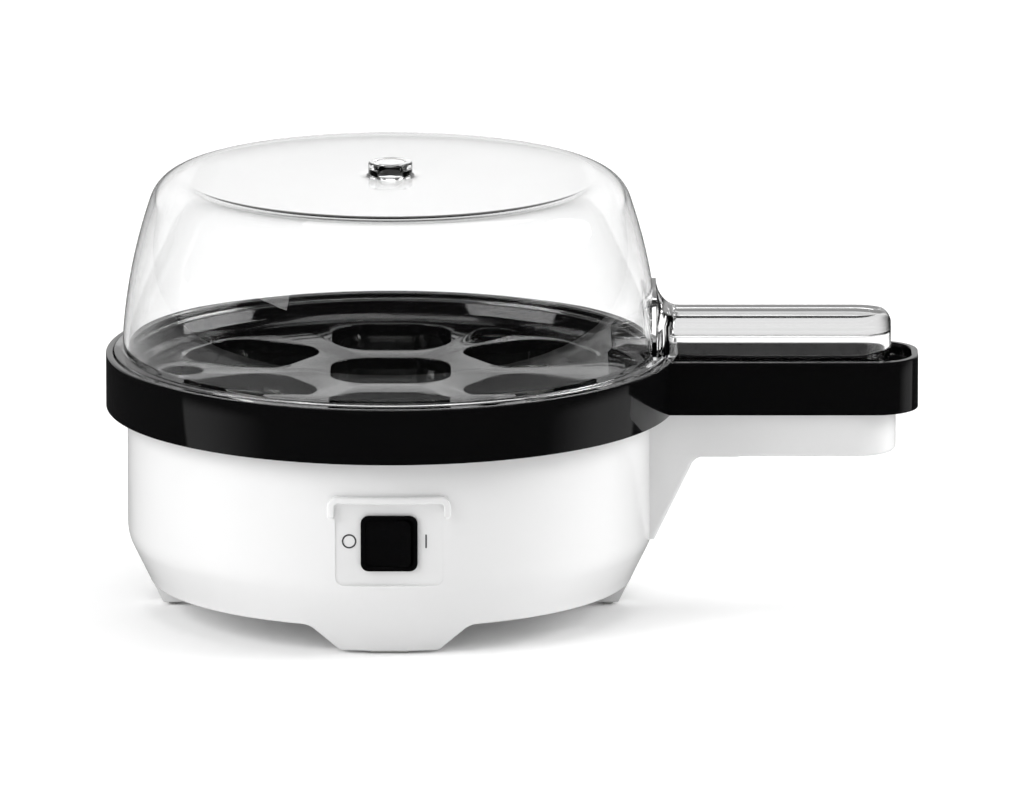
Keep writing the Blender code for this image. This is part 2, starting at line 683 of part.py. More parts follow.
def build_housing(white):
    outer = [(0, HOUSING_TOP), (HOUSING_RADIUS, HOUSING_TOP), (HOUSING_RADIUS, SKIRT_TOP)]
    outer += [(skirt_radius(LEG_BOTTOM), LEG_BOTTOM), (0, LEG_BOTTOM)]
    housing = add("base_housing", turned(outer), white)
    between_legs(housing)
    housing_handle(housing)
    apply_shape(housing, housing_cavity())
    hollow_handle(housing)
    switch_panel(housing)
    screw_bosses(housing)
    pockets = []
    for x, y, half_x, half_y, _ in foot_places():
        low = (x - half_x - GAP, y - half_y - GAP, -OVER)
        pockets.append(block(low, (x + half_x + GAP, y + half_y + GAP, LEG_BOTTOM + PAD_SEAT)))
    apply_shape(housing, combined(pockets))
    entry = disc(GLAND_RADIUS + GAP, PANEL_Y - OVER, HOUSING_RADIUS + OVER, FINE)
    apply_shape(housing, moved(entry, (0, 0, GLAND_Z), -math.pi / 2, "X"))


def build_feet(rubber):
    for x, y, half_x, half_y, name in foot_places():
        ease = min(half_x, half_y) / 3
        loops = []
        for height, inset in ((0, ease / 2), (ease / 2, 0), (LEG_BOTTOM + PAD_SEAT - GAP, 0)):
            outline = rounded_box(half_x - inset, half_y - inset, ease)
            loops.append([(u, v, height) for u, v in outline])
        add(f"foot_pad_{name}", loft(loops), rubber, (x, y, 0))


def clamp_places():
    """Where the two screws of the cord clamp stand."""
    return [(side * CLAMP_HALF, CLAMP_Y, 0) for side in (-1, 1)]


def build_cover(white, steel):
    cover = add("base_cover", disc(LEG_INNER - GAP, COVER_BOTTOM, COVER_TOP), white)
    post_low, post_high = COVER_BOTTOM + GAP, CLAMP_BAR_Z - GAP
    posts = [moved(disc(CLAMP_POST, post_low, post_high, FINE), place) for place in clamp_places()]
    apply_shape(cover, combined(posts), "UNION")
    span = CLAMP_HALF - SCREW_RADIUS - 2 * GAP
    saddle = block(
        (-span, CLAMP_Y - RIB_THICK, COVER_BOTTOM + 2 * GAP),
        (span, CLAMP_Y + RIB_THICK, GLAND_Z - GLAND_BORE - GAP),
    )
    apply_shape(cover, saddle, "UNION")
    bore = SCREW_RADIUS + GAP
    holes = [
        moved(disc(bore, COVER_BOTTOM - OVER, COVER_TOP + OVER, FINE), (x, y, 0))
        for x, y, _ in round_places(SCREW_COUNT, SCREW_PITCH, 45)
    ]
    clamp_top = CLAMP_BAR_Z + CLAMP_BAR
    hole_low = clamp_top - SCREW_LENGTH - GAP
    holes += [moved(disc(bore, hole_low, clamp_top, FINE), place) for place in clamp_places()]
    apply_shape(cover, combined(holes))
    vents = []
    for row in range(-5, -1):
        slot = rounded_box(VENT_SLOT / 2, RIB_THICK / 2, RIB_THICK / 3, (0, row * VENT_PITCH))
        vents.append(prism(slot, COVER_BOTTOM - OVER, COVER_TOP + OVER))
    apply_shape(cover, combined(vents))
    for i, (x, y, _) in enumerate(round_places(SCREW_COUNT, SCREW_PITCH, 45), 1):
        slotted(add(f"cover_screw_{i}", screw_mesh(), steel, (x, y, COVER_BOTTOM - GAP)))


# ---------------------------------------------------------------- heating


def build_dish(steel, silicone):
    outer = DISH_RADIUS + DISH_SHEET
    floor_outer = DISH_FLOOR_RADIUS + DISH_SHEET
    ease = 4 * DISH_SHEET
    lean = (DISH_RADIUS - DISH_FLOOR_RADIUS) / (DISH_RIM - DISH_FLOOR)
    rim = HOUSING_INNER - 3 * GAP
    inside = [(0, DISH_FLOOR), (DISH_FLOOR_RADIUS - ease, DISH_FLOOR)]
    inside.append((DISH_FLOOR_RADIUS + lean * ease / 2, DISH_FLOOR + ease / 2))
    inside.append((DISH_RADIUS, DISH_RIM + DISH_SHEET))
    under = [(outer, DISH_RIM)]
    under.append((floor_outer + lean * ease / 2, DISH_FLOOR + ease / 2 - DISH_SHEET / 2))
    under += [(floor_outer - ease, DISH_FLOOR - DISH_SHEET), (0, DISH_FLOOR - DISH_SHEET)]
    profile = [*inside, (rim, DISH_RIM + DISH_SHEET), (rim, DISH_RIM), *under]
    dish = add("heating_dish", turned(profile), steel)
    bore = SCREW_RADIUS + GAP
    seats = round_places(DISH_SCREW_COUNT, DISH_SCREW_PITCH, 30)
    holes = [moved(disc(bore, DISH_SHELF, RING_TOP, FINE), (x, y, 0), a) for x, y, a in seats]
    apply_shape(dish, combined(holes))
    low = DISH_SHELF + GAP
    start = SHELF_INNER + GAP
    end, high = start + SEAL_WIDE / 2, low + SEAL_THICK
    add("dish_seal", turned([(start, high), (end, high), (end, low), (start, low)]), silicone)
    for i, (x, y, _) in enumerate(seats, 1):
        head = DISH_BOSS * 0.62
        seat = DISH_RIM + DISH_SHEET + GAP
        screw = add(f"dish_screw_{i}", screw_mesh(head=head), steel, (x, y, seat))
        screw.rotation_euler.x = math.pi
        slotted(screw, head)


def build_spreader(aluminium):
    plate = disc(SPREADER_RADIUS, SPREADER_BOTTOM, SPREADER_TOP)
    spreader = add("heat_spreader", plate, aluminium)
    root = SPREADER_BOTTOM + SPREADER_THICK / 2
    low = SPREADER_BOTTOM - STUD_LENGTH
    studs = [moved(disc(STUD_RADIUS, low, root, FINE), (s * STUD_PITCH, 0, 0)) for s in (-1, 1)]
    earth = disc(STUD_RADIUS, SPREADER_BOTTOM - EARTH_STUD_LENGTH, root, FINE)
    studs.append(moved(earth, (-EARTH_STUD_X, 0, 0)))
    apply_shape(spreader, combined(studs), "UNION")


def element_route():
    """A ring that is open at the back, with both ends turned down."""
    start = math.radians(90 + ELEMENT_OPEN)
    ring = arc((0, 0), ELEMENT_PITCH, start, start + math.tau - math.radians(2 * ELEMENT_OPEN), 24)
    points = [Vector((x, y, ELEMENT_Z)) for x, y in ring]
    ends = []
    for end, inner in ((points[0], points[1]), (points[-1], points[-2])):
        ahead = (end - inner).normalized()
        bend = []
        for step in range(1, 4):
            angle = math.pi / 2 * step / 3
            drop = ELEMENT_BEND * (1 - math.cos(angle))
            bend.append(end + ahead * ELEMENT_BEND * math.sin(angle) - Vector((0, 0, drop)))
        bend.append(bend[-1] - Vector((0, 0, ELEMENT_TAIL)))
        ends.append(bend)
    return ends[0][::-1] + points + ends[1]


def build_thermostat(ceramic, steel, dark):
    low = THERMOSTAT_TOP - THERMOSTAT_HEIGHT
    cap = THERMOSTAT_HEIGHT / 3
    shoulder = THERMOSTAT_RADIUS * 0.85
    cap_low = THERMOSTAT_TOP - cap
    profile = [(0, THERMOSTAT_TOP), (THERMOSTAT_RADIUS, THERMOSTAT_TOP), (THERMOSTAT_RADIUS, cap_low)]
    profile += [(shoulder, cap_low), (shoulder, low), (0, low)]
    thermostat = add("thermostat", turned(profile, 20), ceramic)
    reach = THERMOSTAT_RADIUS + TAB_REACH
    tabs = block((-TAB_HALF, -reach, TAB_Z - TAB_THICK), (TAB_HALF, reach, TAB_Z))
    apply_shape(thermostat, tabs, "UNION")
    end = STUD_PITCH + BRACKET_HALF
    strip = rounded_box(end, BRACKET_HALF, BRACKET_HALF * 0.9)
    bracket = add("thermostat_bracket", prism(strip, BRACKET_TOP - BRACKET_THICK, BRACKET_TOP), steel)
    bore = STUD_RADIUS + GAP
    ends = BRACKET_TOP - OVER, BRACKET_TOP + OVER
    holes = [moved(disc(bore, *ends, FINE), (side * STUD_PITCH, 0, 0)) for side in (-1, 1)]
    apply_shape(bracket, combined(holes))
    nut_top = BRACKET_TOP - BRACKET_THICK - GAP
    for i, side in enumerate((-1, 1), 1):
        place = (side * STUD_PITCH, 0, nut_top)
        nut = add(f"thermostat_nut_{i}", disc(NUT_RADIUS, -NUT_THICK, 0, 6), steel, place)
        apply_shape(nut, disc(bore, -OVER, OVER, FINE))
    barrel = [(0, FUSE_LENGTH / 2), (FUSE_RADIUS * 0.5, FUSE_LENGTH / 2), (FUSE_RADIUS, FUSE_LENGTH * 0.36)]
    barrel += [(r, -h) for r, h in barrel[::-1]]
    fuse = moved(turned(barrel, FINE), turn=-math.pi / 2, axis="X")
    add("thermal_fuse", fuse, dark, (*FUSE_AT, FUSE_Z))


# ---------------------------------------------------------------- switch


def build_switch(black, brass, bronze):
    front = BEZEL_Y - BEZEL_THICK
    case = rounded_box(SWITCH_HALF, SWITCH_HALF, BEZEL_CORNER - GAP)
    case = prism(case, BEZEL_Y - GAP, SWITCH_BACK_Y, along="Y")
    body = add("switch_body", case, black, (0, 0, SWITCH_Z))
    bezel = prism(rounded_box(BEZEL_HALF, BEZEL_HALF, BEZEL_CORNER), front, BEZEL_Y, along="Y")
    apply_shape(body, bezel, "UNION")
    well = rounded_box(SWITCH_INNER, SWITCH_INNER, BEZEL_CORNER - SWITCH_WALL)
    apply_shape(body, prism(well, front - OVER, SWITCH_FLOOR_Y, along="Y"))
    bore = (ROCKER_PIN + RUN) / math.cos(math.pi / FINE)
    reach = SWITCH_HALF + OVER
    apply_shape(body, moved(disc(bore, -reach, reach, FINE), (0, PIVOT_Y, 0)))
    slots = []
    for side in (-1, 1):
        thick, wide = TERMINAL_THICK / 2 + GAP, TERMINAL_WIDE / 2 + GAP
        x = side * TERMINAL_X
        low, high = SWITCH_FLOOR_Y - OVER, SWITCH_BACK_Y + OVER
        slots.append(block((x - thick, low, -wide), (x + thick, high, wide)))
    apply_shape(body, combined(slots))
    rest = SWITCH_FLOOR_Y - LEVER_Y - 2 * GAP
    fulcrum = [(-rest, SWITCH_FLOOR_Y + GAP), (rest, SWITCH_FLOOR_Y + GAP), (0, LEVER_Y + 2 * GAP)]
    apply_shape(body, prism(fulcrum, -LEVER_HEIGHT / 2, LEVER_HEIGHT / 2), "UNION")
    build_rocker(black)
    corner = (LEVER_HALF, LEVER_THICK / 2, LEVER_HEIGHT / 2)
    lever = block([-reach for reach in corner], corner)
    add("contact_lever", lever, bronze, (0, LEVER_Y, SWITCH_Z), math.radians(LEVER_TILT))
    for i, side in enumerate((-1, 1), 1):
        low = (-TERMINAL_THICK / 2, SWITCH_FLOOR_Y - GAP, -TERMINAL_WIDE / 2)
        blade = block(low, (TERMINAL_THICK / 2, TERMINAL_END_Y, TERMINAL_WIDE / 2))
        add(f"switch_terminal_{i}", blade, brass, (side * TERMINAL_X, 0, SWITCH_Z))


def build_rocker(black):
    """The rocker, drawn in its middle position about its pivot and set to the off side."""
    nub = LEVER_Y - PIVOT_Y - LEVER_THICK - 2 * GAP
    outline = [
        (-ROCKER_HALF, -ROCKER_TIP),
        (0, -ROCKER_VALLEY),
        (ROCKER_HALF, -ROCKER_TIP),
        (ROCKER_HALF - RING_EASE, ROCKER_BACK),
        (RIB_THICK, 2 * ROCKER_BACK),
        (RIB_THICK / 2, nub),
        (-RIB_THICK / 2, nub),
        (-RIB_THICK, 2 * ROCKER_BACK),
        (-ROCKER_HALF + RING_EASE, ROCKER_BACK),
    ]
    half = SWITCH_INNER - GAP
    place, tilt = (0, PIVOT_Y, SWITCH_Z), -math.radians(ROCKER_TILT)
    rocker = add("switch_rocker", prism(outline, -half, half), black, place, tilt)
    face = rounded_box(ROCKER_HALF, half, BEZEL_CORNER - SWITCH_WALL)
    apply_shape(rocker, prism(face, -SWITCH_CAVITY, SWITCH_CAVITY, along="Y"), "INTERSECT")
    pin = SWITCH_HALF - GAP / 2
    apply_shape(rocker, disc(ROCKER_PIN, -pin, pin, FINE), "UNION")


# ---------------------------------------------------------------- mains entry and leads


def build_entry(rubber, white, steel):
    outside = HOUSING_RADIUS + GAP
    inside = math.sqrt(HOUSING_INNER**2 - GLAND_FLANGE**2) - GAP
    profile = [
        (GLAND_BORE, outside + GLAND_LIP),
        (GLAND_FLANGE - GLAND_LIP / 2, outside + GLAND_LIP),
        (GLAND_FLANGE, outside + GLAND_LIP / 2),
        (GLAND_FLANGE, outside),
        (GLAND_RADIUS, outside),
        (GLAND_RADIUS, inside),
        (GLAND_FLANGE, inside),
        (GLAND_FLANGE, inside - GLAND_LIP),
        (GLAND_BORE, inside - GLAND_LIP),
    ]
    gland = moved(turned(profile, 20), turn=-math.pi / 2, axis="X")
    add("cord_gland", gland, rubber, (0, 0, GLAND_Z))
    outline = rounded_box(CLAMP_HALF + CLAMP_POST, CLAMP_DEPTH / 2, CLAMP_DEPTH / 3, (0, CLAMP_Y))
    clamp = add("cord_clamp", prism(outline, CLAMP_BAR_Z, CLAMP_BAR_Z + CLAMP_BAR), white)
    bore = SCREW_RADIUS + GAP
    low, high = CLAMP_BAR_Z - OVER, CLAMP_BAR_Z + CLAMP_BAR + OVER
    holes = [moved(disc(bore, low, high, FINE), place) for place in clamp_places()]
    apply_shape(clamp, combined(holes))
    for i, (x, y, _) in enumerate(clamp_places(), 1):
        seat = CLAMP_BAR_Z + CLAMP_BAR + GAP
        screw = add(f"cord_clamp_screw_{i}", screw_mesh(), steel, (x, y, seat))
        screw.rotation_euler.x = math.pi
        slotted(screw)


def build_terminal_block(ceramic):
    width, depth, height = BLOCK_SIZE
    outline = rounded_box(width / 2, depth / 2, 1.0 * MM)
    body = add("terminal_block", prism(outline, 0, height), ceramic, (*BLOCK_AT, BLOCK_Z))
    ways = []
    for i in (-1, 0, 1):
        way = moved(disc(BLOCK_HOLE, -depth, 0, FINE), (i * BLOCK_PITCH, 0, height / 2), -math.pi / 2, "X")
        ways.append(way)
    apply_shape(body, combined(ways))
    wells = []
    for i in (-1, 0, 1):
        well = disc(BLOCK_HOLE, height * 0.6, height + OVER, FINE)
        wells.append(moved(well, (i * BLOCK_PITCH, 0, 0)))
    apply_shape(body, combined(wells))


def lead_routes():
    """Each internal lead's name, colour and route, from one terminal to the other, in millimetres."""
    front = (BLOCK_AT[1] - BLOCK_SIZE[1] / 2 - GAP) / MM
    way = BLOCK_PITCH / MM
    middle = BLOCK_AT[0] / MM
    level = (BLOCK_Z + BLOCK_SIZE[2] / 2) / MM
    blade = (TERMINAL_X / MM, (TERMINAL_END_Y + GAP) / MM, SWITCH_Z / MM)
    tab = (THERMOSTAT_RADIUS + TAB_REACH + GAP) / MM
    tab_z = (TAB_Z - TAB_THICK / 2) / MM
    tail = element_route()[-1] / MM
    fuse_x, fuse_y, fuse_z = FUSE_AT[0] / MM, FUSE_AT[1] / MM, FUSE_Z / MM
    fuse_end = (FUSE_LENGTH / 2 + GAP) / MM
    gap = GAP / MM
    earth_z = (SPREADER_BOTTOM - EARTH_STUD_LENGTH) / MM - gap
    earth_x = -EARTH_STUD_X / MM
    return [
        ("lead_live", "brown", [
            (middle - way, front, level), (middle - way, front - 7, level), (-40, 0, level + 1),
            (-30, -30, 24), (-14, -46, 34), (-6, blade[1] + 6, blade[2] - 1), (-blade[0], blade[1], blade[2]),
        ]),
        ("lead_switched", "brown", [
            blade, (6, blade[1] + 6, blade[2] - 1), (7, -38, 35),
            (3, -27, 35), (0, -tab - 5, tab_z - 3), (0, -tab, tab_z),
        ]),
        ("lead_fuse_in", "brown", [
            (0, tab, tab_z), (0.5, tab + 3, tab_z - 0.5), (fuse_x - 7, fuse_y - fuse_end - 4, fuse_z - 3.5),
            (fuse_x - 0.2, fuse_y - fuse_end - 2.5, fuse_z - 0.3), (fuse_x, fuse_y - fuse_end, fuse_z),
        ]),
        ("lead_fuse_out", "brown", [
            (fuse_x, fuse_y + fuse_end, fuse_z), (fuse_x + 0.2, fuse_y + fuse_end + 3, fuse_z - 0.6),
            (fuse_x + 2, fuse_y + fuse_end + 5.5, fuse_z - 6), (tail.x + 4, tail.y - 2, tail.z - 6),
            (tail.x, tail.y, tail.z - 4), (tail.x, tail.y, tail.z - gap),
        ]),
        ("lead_neutral", "blue", [
            (middle + way, front, level), (middle + way, front - 4, level), (-9, front - 6, level + 2),
            (-6.5, 38, level + 6), (-tail.x, tail.y - 1, tail.z - 6), (-tail.x, tail.y, tail.z - gap),
        ]),
        ("lead_earth", "green", [
            (middle, front, level), (middle, front - 6, level), (middle, 15, level + 2),
            (earth_x - 1, 3, 29), (earth_x, 0, 36), (earth_x, 0, earth_z),
        ]),
    ]


def build_leads(colours):
    for name, colour, places in lead_routes():
        points = [Vector(place) * MM for place in places]
        add_tube(name, smooth_route(points), LEAD_RADIUS, colours[colour])


# ---------------------------------------------------------------- rack


def egg_places():
    """(x, y, angle) of the seven egg holes: one in the middle and six round it."""
    return [(0, 0, 0), *round_places(EGG_COUNT, EGG_PITCH, 30)]


def rack_profile():
    """Section of the ring, the lid's ledge, the gutter and the sunken plate."""
    rise = (LEDGE_Z - PLATE_Z) / 4
    step = (LEDGE_INNER - GUTTER_RADIUS) / 2
    return [
        (0, PLATE_Z),
        (PLATE_RADIUS, PLATE_Z),
        (PLATE_RADIUS + GUTTER_DROP, PLATE_Z - GUTTER_DROP),
        (GUTTER_RADIUS, PLATE_Z - GUTTER_DROP),
        (GUTTER_RADIUS + step, PLATE_Z + rise),
        (LEDGE_INNER, LEDGE_Z),
        (RING_INNER, LEDGE_Z),
        (RING_INNER, RING_TOP - RING_EASE / 2),
        (RING_INNER + RING_EASE / 2, RING_TOP),
        (RING_RADIUS - RING_EASE, RING_TOP),
        (RING_RADIUS, RING_TOP - RING_EASE),
        (RING_RADIUS, RING_BOTTOM),
        (RING_INNER, RING_BOTTOM),
        (RING_INNER, LEDGE_Z - PLATE_WALL),
        (SEAT_RADIUS, LEDGE_Z - PLATE_WALL),
        (SEAT_RADIUS, SEAT_Z),
        (0, SEAT_Z),
    ]


def build_rack(black):
    rack = add("egg_carrier", turned(rack_profile()), black)
    handle = handle_solid(
        SEAT_RADIUS,
        TROUGH_END,
        TROUGH_HALF,
        TROUGH_CORNER,
        [(RING_BOTTOM, 0), (TROUGH_RIM - RING_EASE / 2, 0), (TROUGH_RIM, RING_EASE / 2)],
    )
    bar = apply_shape(rack, handle, "UNION")
    apply_shape(bar, disc(RING_RADIUS - RING_WALL / 2, RING_BOTTOM - OVER, RING_TOP + OVER))
    inner = (TROUGH_END - RING_WALL, TROUGH_HALF - RING_WALL, TROUGH_CORNER - RING_WALL)
    floor_under = TROUGH_FLOOR - RING_WALL
    for low, high in ((TROUGH_FLOOR, TROUGH_RIM + OVER), (RING_BOTTOM - OVER, floor_under)):
        hollow = apply_shape(rack, handle_solid(SEAT_RADIUS, *inner, [(low, 0), (high, 0)]))
        apply_shape(hollow, disc(RING_RADIUS + GAP, low - OVER, high + OVER))
    half = EGG_HOLE / 2
    low = PLATE_Z - EGG_COLLAR
    collars, holes = [], []
    for x, y, angle in egg_places():
        collar = rounded_box(half + COLLAR_WALL, half + COLLAR_WALL, EGG_HOLE_CORNER + COLLAR_WALL)
        collars.append(moved(prism(collar, low, PLATE_Z - PLATE_WALL / 2), (x, y, 0), angle))
        hole = rounded_box(half, half, EGG_HOLE_CORNER)
        holes.append(moved(prism(hole, low - OVER, PLATE_Z + OVER), (x, y, 0), angle))
    for x, y, _ in round_places(STEAM_COUNT, STEAM_PITCH, 60):
        steam = disc(STEAM_HOLE / 2, SEAT_Z - OVER, PLATE_Z + OVER, FINE)
        holes.append(moved(steam, (x, y, 0)))
    apply_shape(rack, combined(collars), "UNION")
    apply_shape(rack, combined(holes))


# ---------------------------------------------------------------- lid


def dome_curve(inset, low, steps=5):
    """Section of the dome from its flat top down its shoulder and wall, inset from the outside."""
    wall_centre = (LID_RADIUS - LID_ARC, LID_ARC_Z)
    shoulder_z = LID_TOP - LID_SHOULDER
    reach = LID_ARC - LID_SHOULDER
    rise = math.asin((shoulder_z - LID_ARC_Z) / reach)
    shoulder_centre = (wall_centre[0] + reach * math.cos(rise), shoulder_z)
    wall = LID_ARC - inset
    foot = math.asin((low - LID_ARC_Z) / wall)
    shoulder = arc(shoulder_centre, LID_SHOULDER - inset, math.pi / 2, rise, 3)
    return shoulder + arc(wall_centre, wall, rise, foot, steps)[1:]


def build_lid(clear):
    rim = RING_INNER - GAP
    rim_top = LID_BOTTOM + LID_FLANGE
    ease = LID_FLANGE / 5
    vent_top = LID_TOP + VENT_HEIGHT
    outline = [(0, vent_top), (VENT_BOSS / 2, vent_top), (VENT_BOSS / 2, LID_TOP)]
    outline += dome_curve(0, rim_top)
    outline += [(rim - ease, rim_top), (rim, rim_top - ease), (rim, LID_BOTTOM), (0, LID_BOTTOM)]
    lid = add("lid", turned(outline), clear)
    start = LID_RADIUS - 2 * LID_WALL - OVER
    levels = [(TROUGH_FLOOR + GAP, 0), *eased(LID_GRIP_EASE, LID_GRIP_TOP, 1)]
    grip = handle_solid(start, LID_GRIP_END, LID_GRIP_HALF, LID_GRIP_CORNER, levels)
    grip_piece = apply_shape(lid, grip, "UNION")
    apply_shape(grip_piece, disc(RING_RADIUS + 2 * GAP, TROUGH_FLOOR - OVER, RING_TOP + GAP))
    hollow = [(0, LID_TOP - LID_WALL), *dome_curve(LID_WALL, LID_BOTTOM - GAP)]
    hollow.append((0, LID_BOTTOM - GAP))
    apply_shape(lid, turned(hollow))
    channel = handle_solid(
        rim + GAP,
        LID_GRIP_END - LID_WALL,
        LID_GRIP_HALF - LID_WALL,
        LID_GRIP_CORNER - LID_WALL,
        [(TROUGH_FLOOR - OVER, 0), (LID_GRIP_TOP - LID_GRIP_ROOF, 0)],
    )
    apply_shape(lid, channel)
    apply_shape(lid, disc(VENT_HOLE / 2, LID_TOP - OVER, vent_top + OVER, 20))


# ---------------------------------------------------------------- assembly

for old in list(bpy.data.objects):
    bpy.data.objects.remove(old)

dome_axis = bpy.data.objects.new("dome_axis", None)
bpy.context.scene.collection.objects.link(dome_axis)
dome_axis.location.x = DOME_X

white_plastic = material("white_plastic", (0.86, 0.86, 0.86), 0.18)
black_plastic = material("black_plastic", (0.012, 0.012, 0.013), 0.15)
clear_plastic = material("clear_plastic", (0.97, 0.98, 0.98), 0.03, transmission=1.0)
switch_plastic = material("switch_plastic", (0.008, 0.008, 0.009), 0.12)
pad_rubber = material("pad_rubber", (0.62, 0.62, 0.6), 0.7)
gland_rubber = material("gland_rubber", (0.6, 0.6, 0.6), 0.6)
seal_silicone = material("seal_silicone", (0.55, 0.16, 0.1), 0.55)
dish_steel = material("dish_steel", (0.55, 0.55, 0.54), 0.3, 1.0)
zinc_steel = material("zinc_steel", (0.6, 0.6, 0.58), 0.35, 1.0)
spreader_aluminium = material("spreader_aluminium", (0.75, 0.75, 0.76), 0.4, 1.0)
element_steel = material("element_steel", (0.33, 0.32, 0.3), 0.45, 1.0)
ceramic_white = material("ceramic_white", (0.8, 0.78, 0.72), 0.5)
terminal_brass = material("terminal_brass", (0.8, 0.6, 0.25), 0.3, 1.0)
contact_bronze = material("contact_bronze", (0.7, 0.42, 0.22), 0.35, 1.0)
fuse_sleeve = material("fuse_sleeve", (0.75, 0.73, 0.66), 0.7)
lead_colours = {
    "brown": material("lead_brown", (0.2, 0.08, 0.04), 0.5),
    "blue": material("lead_blue", (0.05, 0.16, 0.5), 0.5),
    "green": material("lead_green", (0.25, 0.5, 0.08), 0.5),
}

build_housing(white_plastic)
build_feet(pad_rubber)
build_cover(white_plastic, zinc_steel)
build_dish(dish_steel, seal_silicone)
build_spreader(spreader_aluminium)
add_tube("heating_element", element_route(), ELEMENT_ROD, element_steel)
build_thermostat(ceramic_white, zinc_steel, fuse_sleeve)
build_switch(switch_plastic, terminal_brass, contact_bronze)
build_entry(gland_rubber, white_plastic, zinc_steel)
build_terminal_block(ceramic_white)
build_leads(lead_colours)
build_rack(black_plastic)
build_lid(clear_plastic)
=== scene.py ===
"""Looks of an electric egg cooker for seven eggs.

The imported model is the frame. Finer pieces stand in for the parts whose surface shows, every
part gets a procedural finish, and a white floor, soft lamps and a camera show it. Pieces are
drawn about the axis of the dome and placed on it, with +X towards the handles.
"""

import math

import bmesh
import bpy
from mathutils import Matrix, Vector


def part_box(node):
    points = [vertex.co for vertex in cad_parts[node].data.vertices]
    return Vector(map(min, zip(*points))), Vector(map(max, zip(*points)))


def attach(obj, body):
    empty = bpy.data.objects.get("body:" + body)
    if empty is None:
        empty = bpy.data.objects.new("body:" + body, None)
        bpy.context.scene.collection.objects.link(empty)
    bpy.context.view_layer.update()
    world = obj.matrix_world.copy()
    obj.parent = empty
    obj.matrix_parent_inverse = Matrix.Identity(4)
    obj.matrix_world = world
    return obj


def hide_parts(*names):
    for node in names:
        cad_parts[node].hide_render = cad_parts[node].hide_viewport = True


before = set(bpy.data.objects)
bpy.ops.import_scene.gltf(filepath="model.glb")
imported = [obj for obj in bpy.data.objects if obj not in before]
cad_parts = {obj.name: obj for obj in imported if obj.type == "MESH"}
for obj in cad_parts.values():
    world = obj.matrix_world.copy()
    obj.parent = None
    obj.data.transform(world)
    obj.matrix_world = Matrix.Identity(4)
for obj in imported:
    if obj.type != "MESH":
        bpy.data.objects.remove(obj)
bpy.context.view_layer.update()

# ---- sizes

MM = 0.001
OVER = 5 * MM  # how far a cutter runs past what it cuts
GAP = 0.3 * MM  # between two pieces that touch
ROUND_STEPS = 288  # facets round the large turned pieces
HOLE_STEPS = 48

dish_low, dish_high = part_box("heating_dish")
rack_low, rack_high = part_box("egg_carrier")
lid_low, lid_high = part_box("lid")
housing_low, housing_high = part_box("base_housing")
switch_low, switch_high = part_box("switch_body")

AXIS_X = (dish_low.x + dish_high.x) / 2
DISH_TOP = dish_high.z
DISH_EDGE = (dish_high.x - dish_low.x) / 2

# Rack
RING_RADIUS = AXIS_X - rack_low.x
RING_BOTTOM = rack_low.z
RING_TOP = rack_high.z
RING_WALL = 2.4 * MM
RING_INNER = RING_RADIUS - RING_WALL
RING_EASE = 0.7 * MM
LEDGE_Z = RING_TOP - 2.0 * MM
LEDGE_INNER = 88.0 * MM
PLATE_Z = RING_TOP - 7.0 * MM
PLATE_WALL = 2.0 * MM
PLATE_RADIUS = 79.0 * MM
GUTTER_RADIUS = 84.5 * MM
GUTTER_DROP = 0.6 * MM
SEAT_RADIUS = 90.0 * MM
SEAT_Z = housing_high.z + GAP
EGG_HALF = 20.0 * MM
EGG_CORNER = 13.5 * MM
EGG_PITCH = 54.0 * MM
EGG_COLLAR = 9.0 * MM
EGG_LIP = 0.35 * MM  # rounding of each hole's upper edge
COLLAR_WALL = 1.6 * MM
STEAM_RADIUS = 7.0 * MM
STEAM_PITCH = 69.5 * MM
TROUGH_END = rack_high.x - AXIS_X
TROUGH_HALF = 18.4 * MM
TROUGH_CORNER = 14.5 * MM
TROUGH_RIM = RING_TOP - 0.6 * MM
TROUGH_FLOOR = TROUGH_RIM - 4.7 * MM
TROUGH_FILLET = 1.2 * MM
TROUGH_EDGE = 0.5 * MM
FOOT_EDGE = 0.3 * MM  # rounding of the rack's lower edges

# Lid
LID_WALL = 2.0 * MM
LID_RIM = AXIS_X - lid_low.x
LID_BOTTOM = LEDGE_Z + GAP
LID_FLANGE = 2.5 * MM
LID_RADIUS = 89.8 * MM
LID_ARC = 180.0 * MM
LID_ARC_Z = 80.0 * MM
VENT_HEIGHT = 4.3 * MM
LID_TOP = lid_high.z - VENT_HEIGHT
LID_SHOULDER = 12.0 * MM
VENT_BOSS = 7.35 * MM
VENT_HOLE = 4.6 * MM
VENT_LIP = 0.7 * MM
LID_GRIP_END = lid_high.x - AXIS_X
LID_GRIP_HALF = 12.7 * MM
LID_GRIP_CORNER = 12.0 * MM
LID_GRIP_TOP = 100.1 * MM
LID_GRIP_ROOF = 6.4 * MM
LID_GRIP_EASE = 4.0 * MM
LID_GRIP_FILLET = 7.5 * MM  # where the handle flows into the dome
LID_GRIP_SUNK = 1.5 * MM  # how far the handle's root reaches into the dome's wall
LID_BLEND = 0.8 * MM
VENT_APRON = 4.0 * MM  # flat round the vent that its foot is rounded into

